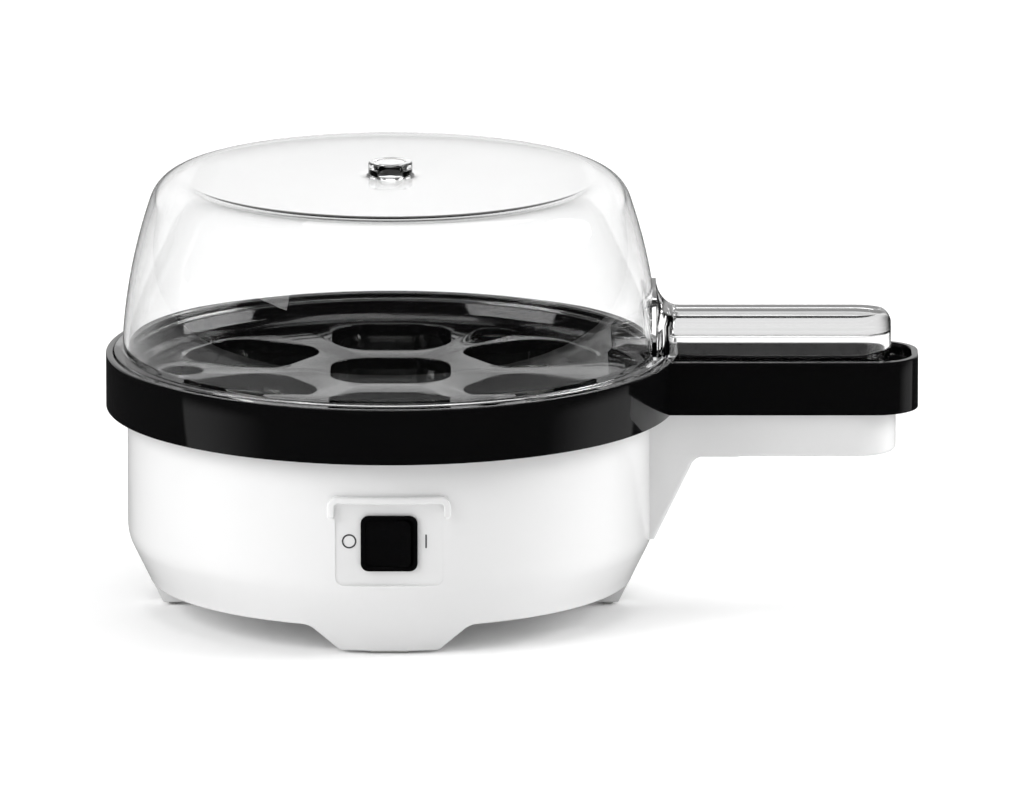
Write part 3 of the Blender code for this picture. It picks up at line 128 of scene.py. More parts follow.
# Housing
HOUSING_RADIUS = 88.0 * MM
HOUSING_TOP = housing_high.z
HOUSING_WALL = 2.2 * MM
HOUSING_INNER = HOUSING_RADIUS - HOUSING_WALL
SKIRT_TOP = 25.3 * MM
SKIRT_SLOPE = 0.488
SKIRT_BLEND = 5.0 * MM  # fillet where the drum runs into the skirt
SKIRT_EDGE = 10.0 * MM
FLANGE_TOP = SKIRT_EDGE + 2.8 * MM
LEG_BOTTOM = housing_low.z
LEG_INNER = 69.3 * MM
LEG_HALF = 16.35 * MM
LEG_FLARE = 28.4 * MM
LEG_ROUND = 7.0 * MM
LEG_STEP = 1.5 * MM  # longest step along a leg's edge or the visor
SIDE_FOOT_HALF = 4.6 * MM
SIDE_FOOT_FLARE = 6.4 * MM
PADS = ("front", "back", "left", "right")
EDGE_EASE = 0.5 * MM
SHELF_Z = 66.0 * MM
SHELF_INNER = 76.5 * MM
GRIP_END = housing_high.x - AXIS_X
GRIP_HALF = 16.5 * MM
GRIP_CORNER = 14.0 * MM
GRIP_BOTTOM = 53.5 * MM
GRIP_TOP = RING_BOTTOM - GAP
GRIP_EASE = 1.5 * MM
GUSSET_FILLET = 5.0 * MM

# Switch
SWITCH_Z = (switch_low.z + switch_high.z) / 2
SWITCH_HALF = 8.7 * MM
BEZEL_CORNER = 2.6 * MM
PANEL_Y = 85.9 * MM
PANEL_HALF = 17.85 * MM
PANEL_LOW = 25.5 * MM
PANEL_HIGH = 53.2 * MM
PANEL_CORNER = 3.0 * MM
VISOR_HALF = 20.45 * MM
VISOR_TOP = 56.0 * MM
VISOR_ARM = 48.5 * MM
VISOR_WALL = 2.4 * MM
VISOR_RADIUS = HOUSING_RADIUS + 2.0 * MM
VISOR_EASE = 0.7 * MM
MARK_Z = 40.5 * MM
MARK_THICK = 0.06 * MM
OFF_MARK_X = -13.2 * MM
OFF_MARK_RADIUS = 2.4 * MM
ON_MARK_X = 12.2 * MM
ON_MARK_HALF = 2.3 * MM
MARK_STROKE = 0.5 * MM

# Inside
BOSS_RADIUS = 3.6 * MM
BOSS_TOP = 36.0 * MM
BOSS_RIB_HALF = 1.0 * MM
COVER_LOW, COVER_TOP = 10.4 * MM, 12.6 * MM
SCREW_PITCH = 62.0 * MM
SCREW_RADIUS = 1.45 * MM
SCREW_HEAD = 2.0 * MM
SCREW_BORE = 12.3 * MM
THREAD_PITCH = 1.0 * MM
THREAD_CORE = 0.78 * SCREW_RADIUS
THREAD_END = 1.5 * MM  # plain shank under the head
DISH_SHEET = 1.0 * MM
DISH_FLOOR = 54.0 * MM
DISH_FLOOR_EDGE = 70.0 * MM
DISH_WALL_TOP = 75.0 * MM
DISH_STEP = (40.0 * MM, 43.6 * MM)
DISH_STEP_SIDE = 0.6 * MM
DISH_STEP_RISE = 0.35 * MM
DISH_SCREW_PITCH = 82.3 * MM
DISH_BOSS = 4.0 * MM
DISH_BOSS_LENGTH = 14.0 * MM
DISH_BORE = 11.3 * MM
GLAND_Z = 34.0 * MM
GLAND_RADIUS = 5.5 * MM


# ---- shapes


def added(name, data):
    """A new object of the scene with this data."""
    item = bpy.data.objects.new(name, data)
    bpy.context.scene.collection.objects.link(item)
    return item


def mesh_from(bm):
    bmesh.ops.recalc_face_normals(bm, faces=bm.faces)
    mesh = bpy.data.meshes.new("shape")
    bm.to_mesh(mesh)
    bm.free()
    return mesh


def turned(profile, segments=ROUND_STEPS):
    """A solid turned about Z from (radius, height) points, which end on the axis if they start there."""
    bm = bmesh.new()
    rings = []
    for radius, height in profile:
        if radius < MM / 1000:
            rings.append([bm.verts.new((0, 0, height))] * segments)
            continue
        ring = []
        for step in range(segments):
            angle = math.tau * step / segments
            ring.append(bm.verts.new((radius * math.cos(angle), radius * math.sin(angle), height)))
        rings.append(ring)
    pairs = list(zip(rings, rings[1:]))
    if profile[0][0] > MM / 1000:
        pairs.append((rings[-1], rings[0]))
    for upper, lower in pairs:
        for i in range(segments):
            corners = [upper[i - 1], upper[i], lower[i], lower[i - 1]]
            face = list(dict.fromkeys(corners))
            if len(face) > 2:
                bm.faces.new(face)
    return mesh_from(bm)


def disc(radius, low, high, segments=HOLE_STEPS):
    return turned([(0, high), (radius, high), (radius, low), (0, low)], segments)


def tube(inner, outer, low, high, segments=ROUND_STEPS):
    return turned([(inner, high), (outer, high), (outer, low), (inner, low)], segments)


def loft(loops, closed=False):
    """A closed solid through loops of equal length."""
    bm = bmesh.new()
    rings = [[bm.verts.new(point) for point in loop] for loop in loops]
    pairs = list(zip(rings, rings[1:]))
    if closed:
        pairs.append((rings[-1], rings[0]))
    for lower, upper in pairs:
        for i, corner in enumerate(lower):
            bm.faces.new((lower[i - 1], corner, upper[i], upper[i - 1]))
    if not closed:
        bm.faces.new(rings[0][::-1])
        bm.faces.new(rings[-1])
    return mesh_from(bm)


def prism(outline, low, high, along="Z"):
    """An outline carried along Z, or along Y with its second coordinate as the height."""
    if along == "Y":
        return loft([[(u, w, v) for u, v in outline] for w in (low, high)])
    return loft([[(u, v, w) for u, v in outline] for w in (low, high)])


def block(low, high):
    outline = [(low[0], low[1]), (high[0], low[1]), (high[0], high[1]), (low[0], high[1])]
    return prism(outline, low[2], high[2])


def rounded(corners, steps=8, closed=True):
    """An outline through (u, v, radius) corners, each rounded to its radius."""
    points = []
    for i, (u, v, radius) in enumerate(corners):
        here = Vector((u, v))
        if radius <= 0 or (not closed and i in (0, len(corners) - 1)):
            points.append(tuple(here))
            continue
        back = (Vector(corners[i - 1][:2]) - here).normalized()
        ahead = (Vector(corners[(i + 1) % len(corners)][:2]) - here).normalized()
        half = back.angle(ahead) / 2
        centre = here + (back + ahead).normalized() * radius / math.sin(half)
        start = here + back * radius / math.tan(half) - centre
        end = here + ahead * radius / math.tan(half) - centre
        first = math.atan2(start.y, start.x)
        turn = (math.atan2(end.y, end.x) - first + math.pi) % math.tau - math.pi
        for step in range(steps + 1):
            angle = first + turn * step / steps
            points.append((centre.x + radius * math.cos(angle), centre.y + radius * math.sin(angle)))
    return points


def rounded_box(half_u, half_v, radius, centre=(0, 0), steps=8):
    signs = ((-1, -1), (1, -1), (1, 1), (-1, 1))
    return rounded([(centre[0] + a * half_u, centre[1] + b * half_v, radius) for a, b in signs], steps)


def handle_solid(start, end, half, corner, levels):
    """A bar along X with a rounded far end, through (height, inset) levels that shape its rim."""
    loops = []
    for height, inset in levels:
        far, side, bend = end - inset, half - inset, corner - inset
        corners = [(start, -side, 0), (far, -side, bend), (far, side, bend), (start, side, 0)]
        loops.append([(x, y, height) for x, y in rounded(corners, 20)])
    return loft(loops)


def eased(radius, edge, inward, steps=6):
    """(height, inset) levels of a rounded edge at height edge; inward is +1 below it, -1 above."""
    levels = []
    for step in range(steps + 1):
        angle = math.pi / 2 * step / steps
        levels.append((edge - inward * radius * (1 - math.sin(angle)), radius * (1 - math.cos(angle))))
    return levels


def arc(centre, radius, start, end, steps):
    angles = [start + (end - start) * step / steps for step in range(steps + 1)]
    return [(centre[0] + radius * math.cos(a), centre[1] + radius * math.sin(a)) for a in angles]


def moved(mesh, location=(0, 0, 0), turn=0.0, axis="Z"):
    mesh.transform(Matrix.Translation(location) @ Matrix.Rotation(turn, 4, axis))
    return mesh


def combined(meshes):
    bm = bmesh.new()
    for mesh in meshes:
        bm.from_mesh(mesh)
    return mesh_from(bm)


def round_places(count, pitch, first=0.0):
    """(x, y, angle) of places spread evenly on a circle."""
    places = []
    for i in range(count):
        angle = math.radians(first) + math.tau * i / count
        places.append((pitch * math.cos(angle), pitch * math.sin(angle), angle))
    return places


def shaped(base, *steps):
    """The mesh that is left after each (operation, mesh) is applied to the first one."""
    work = added("work", base)
    helpers = []
    for operation, mesh in steps:
        helper = added("helper", mesh)
        helper.hide_render = True
        helpers.append(helper)
        modifier = work.modifiers.new(operation, "BOOLEAN")
        modifier.operation = operation
        modifier.object = helper
    bpy.context.view_layer.update()
    graph = bpy.context.evaluated_depsgraph_get()
    result = bpy.data.meshes.new_from_object(work.evaluated_get(graph))
    for item in [work, *helpers]:
        bpy.data.objects.remove(item)
    return result


# ---- finishes


def shade(colour, share):
    return tuple(c * share for c in colour)


def finish_material(name, colour, roughness, metallic=0.0, **sockets):
    """An even Principled material; further sockets go by name, with _ for each space."""
    made = bpy.data.materials.new(name)
    made.use_nodes = True
    shader = made.node_tree.nodes["Principled BSDF"]
    shader.inputs["Base Color"].default_value = (*colour, 1.0)
    shader.inputs["Roughness"].default_value = roughness
    shader.inputs["Metallic"].default_value = metallic
    for socket, value in sockets.items():
        shader.inputs[socket.replace("_", " ")].default_value = value
    return made


def feed(tree, socket, value):
    """Gives a socket a number, or the output of another node."""
    if isinstance(value, (int, float)):
        socket.default_value = value
    else:
        tree.links.new(value, socket)


def joined(tree, operation, first, second):
    """The result of a Math node on two operands, each a number or another node's output."""
    node = tree.nodes.new("ShaderNodeMath")
    node.operation = operation
    feed(tree, node.inputs[0], first)
    feed(tree, node.inputs[1], second)
    return node.outputs["Value"]


def mapped(tree, value, start, end, low, high, kind="LINEAR"):
    """An output that runs from low to high while the value runs from start to end."""
    node = tree.nodes.new("ShaderNodeMapRange")
    node.interpolation_type = kind
    for socket, number in zip(("From Min", "From Max", "To Min", "To Max"), (start, end, low, high)):
        node.inputs[socket].default_value = number
    tree.links.new(value, node.inputs["Value"])
    return node.outputs["Result"]


def noise(tree, scale, detail=3.0, stretch=None):
    """A noise texture in object space, in features for each metre."""
    place = tree.nodes.new("ShaderNodeTexCoord").outputs["Object"]
    texture = tree.nodes.new("ShaderNodeTexNoise")
    texture.inputs["Scale"].default_value = scale
    texture.inputs["Detail"].default_value = detail
    if stretch:
        mapping = tree.nodes.new("ShaderNodeMapping")
        mapping.inputs["Scale"].default_value = stretch
        tree.links.new(place, mapping.inputs["Vector"])
        place = mapping.outputs["Vector"]
    tree.links.new(place, texture.inputs["Vector"])
    return texture


VARY_FROM, VARY_TO = 0.3, 0.7  # the part of a noise's range that holds nearly all of it


def vary(made, scale, colour_low, colour_high, rough_low, rough_high):
    """Slow variation of colour and roughness over the surface."""
    tree = made.node_tree
    shader = tree.nodes["Principled BSDF"]
    texture = noise(tree, scale)
    ramp = tree.nodes.new("ShaderNodeValToRGB")
    for stop, place, colour in zip(ramp.color_ramp.elements, (VARY_FROM, VARY_TO), (colour_low, colour_high)):
        stop.position = place
        stop.color = (*colour, 1.0)
    tree.links.new(texture.outputs["Fac"], ramp.inputs["Fac"])
    tree.links.new(ramp.outputs["Color"], shader.inputs["Base Color"])
    roughness = mapped(tree, texture.outputs["Fac"], VARY_FROM, VARY_TO, rough_low, rough_high)
    tree.links.new(roughness, shader.inputs["Roughness"])
    return made


def grain(made, texture, depth, strength):
    """A fine surface relief from a texture."""
    tree = made.node_tree
    bump = tree.nodes.new("ShaderNodeBump")
    bump.inputs["Strength"].default_value = strength
    bump.inputs["Distance"].default_value = depth
    tree.links.new(texture.outputs["Fac"], bump.inputs["Height"])
    tree.links.new(bump.outputs["Normal"], tree.nodes["Principled BSDF"].inputs["Normal"])
    return made


def moulded(name, colour, roughness, spread=0.012, relief=0.15, **sockets):
    """Moulded plastic: nearly even, with a faint ripple in its gloss and surface."""
    made = finish_material(name, colour, roughness, **sockets)
    vary(made, 35, shade(colour, 1 - spread), colour, roughness * 0.85, roughness * 1.15)
    return grain(made, noise(made.node_tree, 900, 2.0), 0.004 * MM, relief)


def clear_finish():
    """Clear moulded plastic: all but even, with a faint change of gloss."""
    colour = (0.998, 0.999, 0.999)
    made = finish_material("clear_plastic_fine", colour, 0.0, Transmission_Weight=1.0, IOR=1.45)
    tree = made.node_tree
    roughness = mapped(tree, noise(tree, 60).outputs["Fac"], 0.0, 1.0, 0.0, 0.012)
    tree.links.new(roughness, tree.nodes["Principled BSDF"].inputs["Roughness"])
    return made


def rubber_finish(name, colour):
    made = finish_material(name, colour, 0.6)
    vary(made, 120, shade(colour, 0.94), colour, 0.55, 0.7)
    return grain(made, noise(made.node_tree, 2500, 4.0), 0.03 * MM, 0.35)


def metal_finish(name, colour, roughness, scale=400, stretch=None, relief=0.2):
    made = finish_material(name, colour, roughness, 1.0)
    vary(made, scale / 8, shade(colour, 0.88), colour, roughness * 0.75, roughness * 1.3)
    return grain(made, noise(made.node_tree, scale, 5.0, stretch), 0.01 * MM, relief)


def spun_finish(name, colour, roughness):
    """Sheet metal turned on a lathe: fine rings about the dome's axis."""
    made = finish_material(name, colour, roughness, 1.0)
    vary(made, 40, shade(colour, 0.93), colour, roughness * 0.8, roughness * 1.2)
    tree = made.node_tree
    place = tree.nodes.new("ShaderNodeTexCoord")
    mapping = tree.nodes.new("ShaderNodeMapping")
    mapping.inputs["Location"].default_value = (-AXIS_X, 0, 0)
    rings = tree.nodes.new("ShaderNodeTexWave")
    rings.wave_type = "RINGS"
    rings.rings_direction = "Z"
    rings.inputs["Scale"].default_value = 420.0
    rings.inputs["Distortion"].default_value = 1.5
    rings.inputs["Detail"].default_value = 3.0
    tree.links.new(place.outputs["Object"], mapping.inputs["Vector"])
    tree.links.new(mapping.outputs["Vector"], rings.inputs["Vector"])
    return grain(made, rings, 0.006 * MM, 0.3)


def cable_finish(name, colour):
    made = finish_material(name, colour, 0.45)
    vary(made, 300, shade(colour, 0.85), colour, 0.38, 0.55)
    return grain(made, noise(made.node_tree, 1800, 2.0), 0.01 * MM, 0.25)


def sleeve_finish(name, colour):
    """Woven glass sleeve."""
    made = finish_material(name, colour, 0.8)
    tree = made.node_tree
    weave = tree.nodes.new("ShaderNodeTexWave")
    weave.inputs["Scale"].default_value = 900.0
    tree.links.new(tree.nodes.new("ShaderNodeTexCoord").outputs["Object"], weave.inputs["Vector"])
    vary(made, 600, shade(colour, 0.8), colour, 0.7, 0.9)
    return grain(made, weave, 0.08 * MM, 0.6)


# ---- pieces


def place_piece(name, mesh, finish, body, slot, *stood_for, location=(0, 0, 0), sharp=30):
    """A finer piece on the dome's axis, riding on its body."""
    item = added(name, mesh)
    item.location = Vector(location) + Vector((AXIS_X, 0, 0))
    mesh.materials.clear()
    mesh.materials.append(finish)
    mesh.shade_smooth()
    mesh.set_sharp_from_angle(angle=math.radians(sharp))
    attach(item, body)
    if stood_for:
        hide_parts(*stood_for)
    return item


def skirt_radius(height):
    return HOUSING_RADIUS - SKIRT_SLOPE * (SKIRT_TOP - height)


def leg_line(half, flare, roundness):
    """(sideways, height) points of the skirt's lower edge across one leg."""
    falling = [
        (-flare - roundness, SKIRT_EDGE, 0),
        (-flare + roundness / 4, SKIRT_EDGE, roundness),
        (-half, LEG_BOTTOM, roundness / 3),
    ]
    corners = falling + [(-side, height, radius) for side, height, radius in falling[::-1]]
    points = rounded(corners, 10, closed=False)
    line = []
    for (u, v), (u2, v2) in zip(points, points[1:]):
        pieces = max(1, math.ceil(math.hypot(u2 - u, v2 - v) / LEG_STEP))
        line += [(u + (u2 - u) * k / pieces, v + (v2 - v) * k / pieces) for k in range(pieces)]
    return [*line, points[-1]]


def housing_columns():
    """(outer angle, inner angle, lower edge) of each upright column of the housing's mesh."""
    columns = []
    wide = (LEG_HALF, LEG_FLARE, LEG_ROUND)
    narrow = (SIDE_FOOT_HALF, SIDE_FOOT_FLARE, SIDE_FOOT_HALF / 2)
    between = 44  # columns from one leg to the next
    for facing in (-90, 0, 90, 180):
        this, following = (wide, narrow) if facing in (-90, 90) else (narrow, wide)
        middle = math.radians(facing)
        for side, low in leg_line(*this):
            outer = middle + math.asin(side / skirt_radius(low))
            inner = middle + math.asin(side / LEG_INNER)
            columns.append((outer, inner, low))
        last = columns[-1]
        quarter = middle + math.pi / 2
        first = leg_line(*following)[0][0]
        ends = (quarter + math.asin(first / skirt_radius(SKIRT_EDGE)), quarter + math.asin(first / LEG_INNER))
        for step in range(1, between):
            share = step / between
            outer = last[0] + (ends[0] - last[0]) * share
            inner = last[1] + (ends[1] - last[1]) * share
            columns.append((outer, inner, SKIRT_EDGE))
    return columns


def housing_section(low):
    """(radius, height, on the inner angle) points of the wall, for one height of its lower edge."""
    ease = EDGE_EASE
    inset = HOUSING_WALL * math.hypot(1, SKIRT_SLOPE)
    corners = [
        (HOUSING_RADIUS - HOUSING_WALL / 2, HOUSING_TOP, 0),
        (HOUSING_RADIUS, HOUSING_TOP, ease),
        (HOUSING_RADIUS, SKIRT_TOP, SKIRT_BLEND * 3),
        (skirt_radius(low), low, 0),
    ]
    outline = rounded(corners, 6, closed=False)[:-1]
    points = [(r, z, False) for r, z in outline]
    start = outline[-1][1]
    for share in (0.35, 0.7):
        height = start + (low + ease - start) * share
        points.append((skirt_radius(height), height, False))
    foot = skirt_radius(low + ease)
    for step in range(4):
        angle = math.pi / 2 * step / 3
        points.append((foot - ease * (1 - math.cos(angle)), low + ease * (1 - math.sin(angle)), False))
    points += [
        (LEG_INNER + ease, low, True),
        (LEG_INNER + ease * 0.3, low + ease * 0.3, True),
        (LEG_INNER, low + ease, True),
        (LEG_INNER, FLANGE_TOP, True),
        (skirt_radius(FLANGE_TOP) - inset, FLANGE_TOP, False),
        (HOUSING_INNER, SKIRT_TOP, False),
        (HOUSING_INNER, SHELF_Z - HOUSING_WALL, False),
        (SHELF_INNER, SHELF_Z - HOUSING_WALL, False),
        (SHELF_INNER, SHELF_Z, False),
        (HOUSING_INNER, SHELF_Z, False),
        (HOUSING_INNER, HOUSING_TOP - ease, False),
        (HOUSING_INNER + ease, HOUSING_TOP, False),
    ]
    return points


def housing_shell():
    loops = []
    for outer, inner, low in housing_columns():
        loop = []
        for radius, height, on_inner in housing_section(low):
            angle = inner if on_inner else outer
            loop.append((radius * math.cos(angle), radius * math.sin(angle), height))
        loops.append(loop)
    return loft(loops, closed=True)


def grip_solid():
    low = eased(GRIP_EASE, GRIP_BOTTOM, -1)[::-1]
    return handle_solid(HOUSING_INNER - OVER, GRIP_END, GRIP_HALF, GRIP_CORNER, [*low, (GRIP_TOP, 0)])


def gusset_solid():
    """The wedge that carries the skirt's slope up to the handle, flowing into the handle's underside."""
    start = HOUSING_INNER - OVER
    reach = skirt_radius(GRIP_BOTTOM) + 3 * GUSSET_FILLET
    corners = [
        (start, SKIRT_TOP, 0),
        (HOUSING_RADIUS, SKIRT_TOP, 0),
        (skirt_radius(GRIP_BOTTOM), GRIP_BOTTOM + GAP / 3, GUSSET_FILLET),
        (reach, GRIP_BOTTOM + GAP / 3, 0),
        (reach, GRIP_BOTTOM + GRIP_EASE, 0),
        (start, GRIP_BOTTOM + GRIP_EASE, 0),
    ]
    outline = rounded(corners)
    levels = [(-GRIP_HALF + height, inset) for height, inset in eased(GRIP_EASE, 0, -1)[::-1]]
    levels += [(GRIP_HALF + height, inset) for height, inset in eased(GRIP_EASE, 0, 1)]
    loops = []
    for side, inset in levels:
        loops.append([(x - (inset if x > start else 0), side, z) for x, z in outline])
    return loft(loops)


def grip_pocket():
    return handle_solid(
        HOUSING_RADIUS + HOUSING_WALL,
        GRIP_END - HOUSING_WALL,
        GRIP_HALF - HOUSING_WALL,
        GRIP_CORNER - HOUSING_WALL,
        [(GRIP_BOTTOM + HOUSING_WALL, 0), (GRIP_TOP - EDGE_EASE, 0), (GRIP_TOP + EDGE_EASE, -EDGE_EASE)],
    )


def gusset_hollow():
    back = HOUSING_WALL * math.hypot(1, SKIRT_SLOPE)
    low, high = SKIRT_TOP + 2 * HOUSING_WALL, GRIP_BOTTOM - GAP
    start = HOUSING_INNER - OVER
    slope = [(skirt_radius(low) - back, low), (skirt_radius(high) - back, high)]
    outline = [(start, low), *slope, (start, high)]
    half = GRIP_HALF - HOUSING_WALL
    return prism(outline, -half, half, along="Y")


def panel_backing():
    half = PANEL_HALF + HOUSING_WALL
    edge = HOUSING_RADIUS - HOUSING_WALL / 2
    lean = math.asin(half / edge)
    front = arc((0, 0), edge, 1.5 * math.pi - lean, 1.5 * math.pi + lean, 24)
    back = -(PANEL_Y - HOUSING_WALL)
    outline = [(-half, back), *front, (half, back)]
    return prism(outline, SKIRT_TOP - HOUSING_WALL / 2, VISOR_TOP + HOUSING_WALL)


def visor_solid():
    """The drip visor: a rounded bar bent over the switch, following the drum's curve."""
    half, top = VISOR_HALF - VISOR_WALL / 2, VISOR_TOP - VISOR_WALL / 2
    corner = 1.6 * VISOR_WALL - VISOR_WALL / 2
    corners = [(-half, VISOR_ARM, 0), (-half, top, corner), (half, top, corner), (half, VISOR_ARM, 0)]
    points = [Vector(point) for point in rounded(corners, 10, closed=False)]
    path = [points[0], points[0] + Vector((0, VISOR_EASE))]
    for here, ahead in zip(points[1:], points[2:]):
        pieces = max(1, math.ceil((ahead - here).length / LEG_STEP))
        path += [here + (ahead - here) * k / pieces for k in range(pieces)]
    path += [points[-1] + Vector((0, VISOR_EASE)), points[-1]]
    deep = -(PANEL_Y - HOUSING_WALL / 2)
    loops = []
    for i, here in enumerate(path):
        along = (path[min(i + 1, len(path) - 1)] - path[max(i - 1, 0)]).normalized()
        out = Vector((-along.y, along.x))
        shrink = VISOR_EASE * 0.6 if i in (0, len(path) - 1) else 0
        loop = []
        section = [(VISOR_WALL / 2 - shrink, None)]
        for step in range(5):
            angle = math.pi / 2 * step / 4
            across = VISOR_WALL / 2 - shrink - VISOR_EASE * (1 - math.cos(angle))
            section.append((across, VISOR_RADIUS - shrink - VISOR_EASE * (1 - math.sin(angle))))
        section += [(-across, radius) for across, radius in section[1:][::-1]]
        section.append((-VISOR_WALL / 2 + shrink, None))
        for across, radius in section:
            spot = here + out * across
            y = deep if radius is None else -math.sqrt(radius**2 - spot.x**2)
            loop.append((spot.x, y, spot.y))
        loops.append(loop)
    return loft(loops)


def housing_bosses():
    """Bosses inside for the cover's screws, with their ribs, and for the dish's screws."""
    low = COVER_TOP + GAP
    sunk = HOUSING_WALL / 2 + SCREW_PITCH
    section = [(0, low), (skirt_radius(low) - sunk, low), (HOUSING_RADIUS - sunk, SKIRT_TOP)]
    section += [(HOUSING_RADIUS - sunk, BOSS_TOP - GAP), (0, BOSS_TOP - GAP)]
    steps = []
    cover_seats = round_places(4, SCREW_PITCH, 45)
    for x, y, angle in cover_seats:
        rib = prism(section, -BOSS_RIB_HALF, BOSS_RIB_HALF, along="Y")
        steps.append(("UNION", moved(rib, (x, y, 0), angle)))
        steps.append(("UNION", moved(disc(BOSS_RADIUS, low, BOSS_TOP, 32), (x, y, 0), angle)))
    top = DISH_TOP - DISH_SHEET - GAP
    seats = round_places(3, DISH_SCREW_PITCH, 30)
    posts = [moved(disc(DISH_BOSS, top - DISH_BOSS_LENGTH, top, 32), (x, y, 0)) for x, y, _ in seats]
    steps.append(("UNION", combined(posts)))
    bore = SCREW_RADIUS + GAP
    spans = [(cover_seats, low - OVER, COVER_LOW + SCREW_BORE), (seats, top - DISH_BORE, top + OVER)]
    bores = []
    for places, start, end in spans:
        bores += [moved(disc(bore, start, end, 24), (x, y, 0)) for x, y, _ in places]
    steps.append(("DIFFERENCE", combined(bores)))
    return steps


def pad_pockets():
    pockets = []
    for name in PADS:
        low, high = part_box(f"foot_pad_{name}")
        start = (low.x - AXIS_X - GAP, low.y - GAP, -OVER)
        end = (high.x - AXIS_X + GAP, high.y + GAP, high.z + GAP)
        pockets.append(block(start, end))
    return combined(pockets)


def build_housing(white):
    reach = VISOR_RADIUS + OVER
    middle = (PANEL_LOW + PANEL_HIGH) / 2
    recess = rounded_box(PANEL_HALF, (PANEL_HIGH - PANEL_LOW) / 2, PANEL_CORNER, (0, middle))
    opening = rounded_box(SWITCH_HALF + GAP, SWITCH_HALF + GAP, BEZEL_CORNER, (0, SWITCH_Z))
    drum_core = tube(HOUSING_INNER - 2 * OVER, HOUSING_INNER, SKIRT_TOP, GRIP_TOP)
    entry = disc(GLAND_RADIUS + GAP, PANEL_Y - OVER, HOUSING_RADIUS + OVER)
    moved(entry, turn=-math.pi / 2, axis="X")
    grip = shaped(
        grip_solid(),
        ("UNION", gusset_solid()),
        ("DIFFERENCE", drum_core),
        ("DIFFERENCE", grip_pocket()),
    )
    mesh = shaped(
        housing_shell(),
        ("UNION", grip),
        ("DIFFERENCE", gusset_hollow()),
        ("UNION", panel_backing()),
        ("DIFFERENCE", prism(recess, -reach, -PANEL_Y, along="Y")),
        ("UNION", visor_solid()),
        ("DIFFERENCE", prism(opening, -reach, -PANEL_Y + 2 * HOUSING_WALL, along="Y")),
        *housing_bosses(),
        ("DIFFERENCE", pad_pockets()),
        ("DIFFERENCE", moved(entry, (0, 0, GLAND_Z))),
    )
    place_piece("housing", mesh, white, "base", "white_plastic", "base_housing")


def build_marks(ink):
    """The round off mark and the upright on mark, printed on the panel."""
    middle = MARK_STROKE / 2
    inner = OFF_MARK_RADIUS - MARK_STROKE
    ring = tube(inner, OFF_MARK_RADIUS, -MARK_THICK / 2, MARK_THICK / 2, 64)
    y = -(PANEL_Y + MARK_THICK)
    moved(ring, (OFF_MARK_X, y, MARK_Z), math.pi / 2, "X")
    place_piece("off_mark", ring, ink, "base", "black_plastic")
    bar = rounded_box(middle, ON_MARK_HALF, middle * 0.6)
    mesh = moved(prism(bar, -MARK_THICK / 2, MARK_THICK / 2, along="Y"), (ON_MARK_X, y, MARK_Z))
    place_piece("on_mark", mesh, ink, "base", "black_plastic")


def build_pads(rubber):
    for name in PADS:
        low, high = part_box(f"foot_pad_{name}")
        centre = (low + high) / 2
        half = (high - low) / 2
        ease = min(half.x, half.y) / 3
        levels = [(2 * half.z - height, inset) for height, inset in eased(ease, 2 * half.z, 1)][::-1]
        levels += [(2 * half.z - EDGE_EASE, 0), (2 * half.z, EDGE_EASE / 2)]
        loops = []
        for height, inset in levels:
            outline = rounded_box(half.x - inset, half.y - inset, ease)
            loops.append([(u, v, low.z + height) for u, v in outline])
        place = (centre.x - AXIS_X, centre.y, 0)
        node = f"foot_pad_{name}"
        place_piece(f"pad_{name}", loft(loops), rubber, "base", "pad_rubber", node, location=place)


# ---- rack


def rack_section():
    corners = [
        (0, PLATE_Z, 0),
        (PLATE_RADIUS, PLATE_Z, 0.5 * MM),
        (PLATE_RADIUS + GUTTER_DROP, PLATE_Z - GUTTER_DROP, 0.4 * MM),
        (GUTTER_RADIUS, PLATE_Z - GUTTER_DROP, 0.8 * MM),
        (GUTTER_RADIUS + 1.75 * MM, PLATE_Z + 1.25 * MM, 2.0 * MM),
        (LEDGE_INNER, LEDGE_Z, 0.4 * MM),
        (RING_INNER, LEDGE_Z, 0.3 * MM),
        (RING_INNER, RING_TOP, 0.5 * MM),
        (RING_RADIUS, RING_TOP, RING_EASE),
        (RING_RADIUS, RING_BOTTOM, 0.4 * MM),
        (RING_INNER, RING_BOTTOM, 0.3 * MM),
        (RING_INNER, LEDGE_Z - PLATE_WALL, 0.3 * MM),
        (SEAT_RADIUS, LEDGE_Z - PLATE_WALL, 0),
        (SEAT_RADIUS, SEAT_Z, 0.3 * MM),
        (0, SEAT_Z, 0),
    ]
    return rounded(corners, 5, closed=False)


def hole_cutter(outline_at, low, lip):
    """A hole's cutter that flares at the plate's top, so the hole's edge comes out rounded."""
    levels = [(low, 0), (PLATE_Z - lip, 0)]
    for step in range(1, 6):
        angle = math.pi / 2 * step / 5
        levels.append((PLATE_Z - lip * (1 - math.sin(angle)), lip * (1 - math.cos(angle))))
    levels.append((PLATE_Z + OVER, lip))
    return loft([[(x, y, height) for x, y in outline_at(grow)] for height, grow in levels])


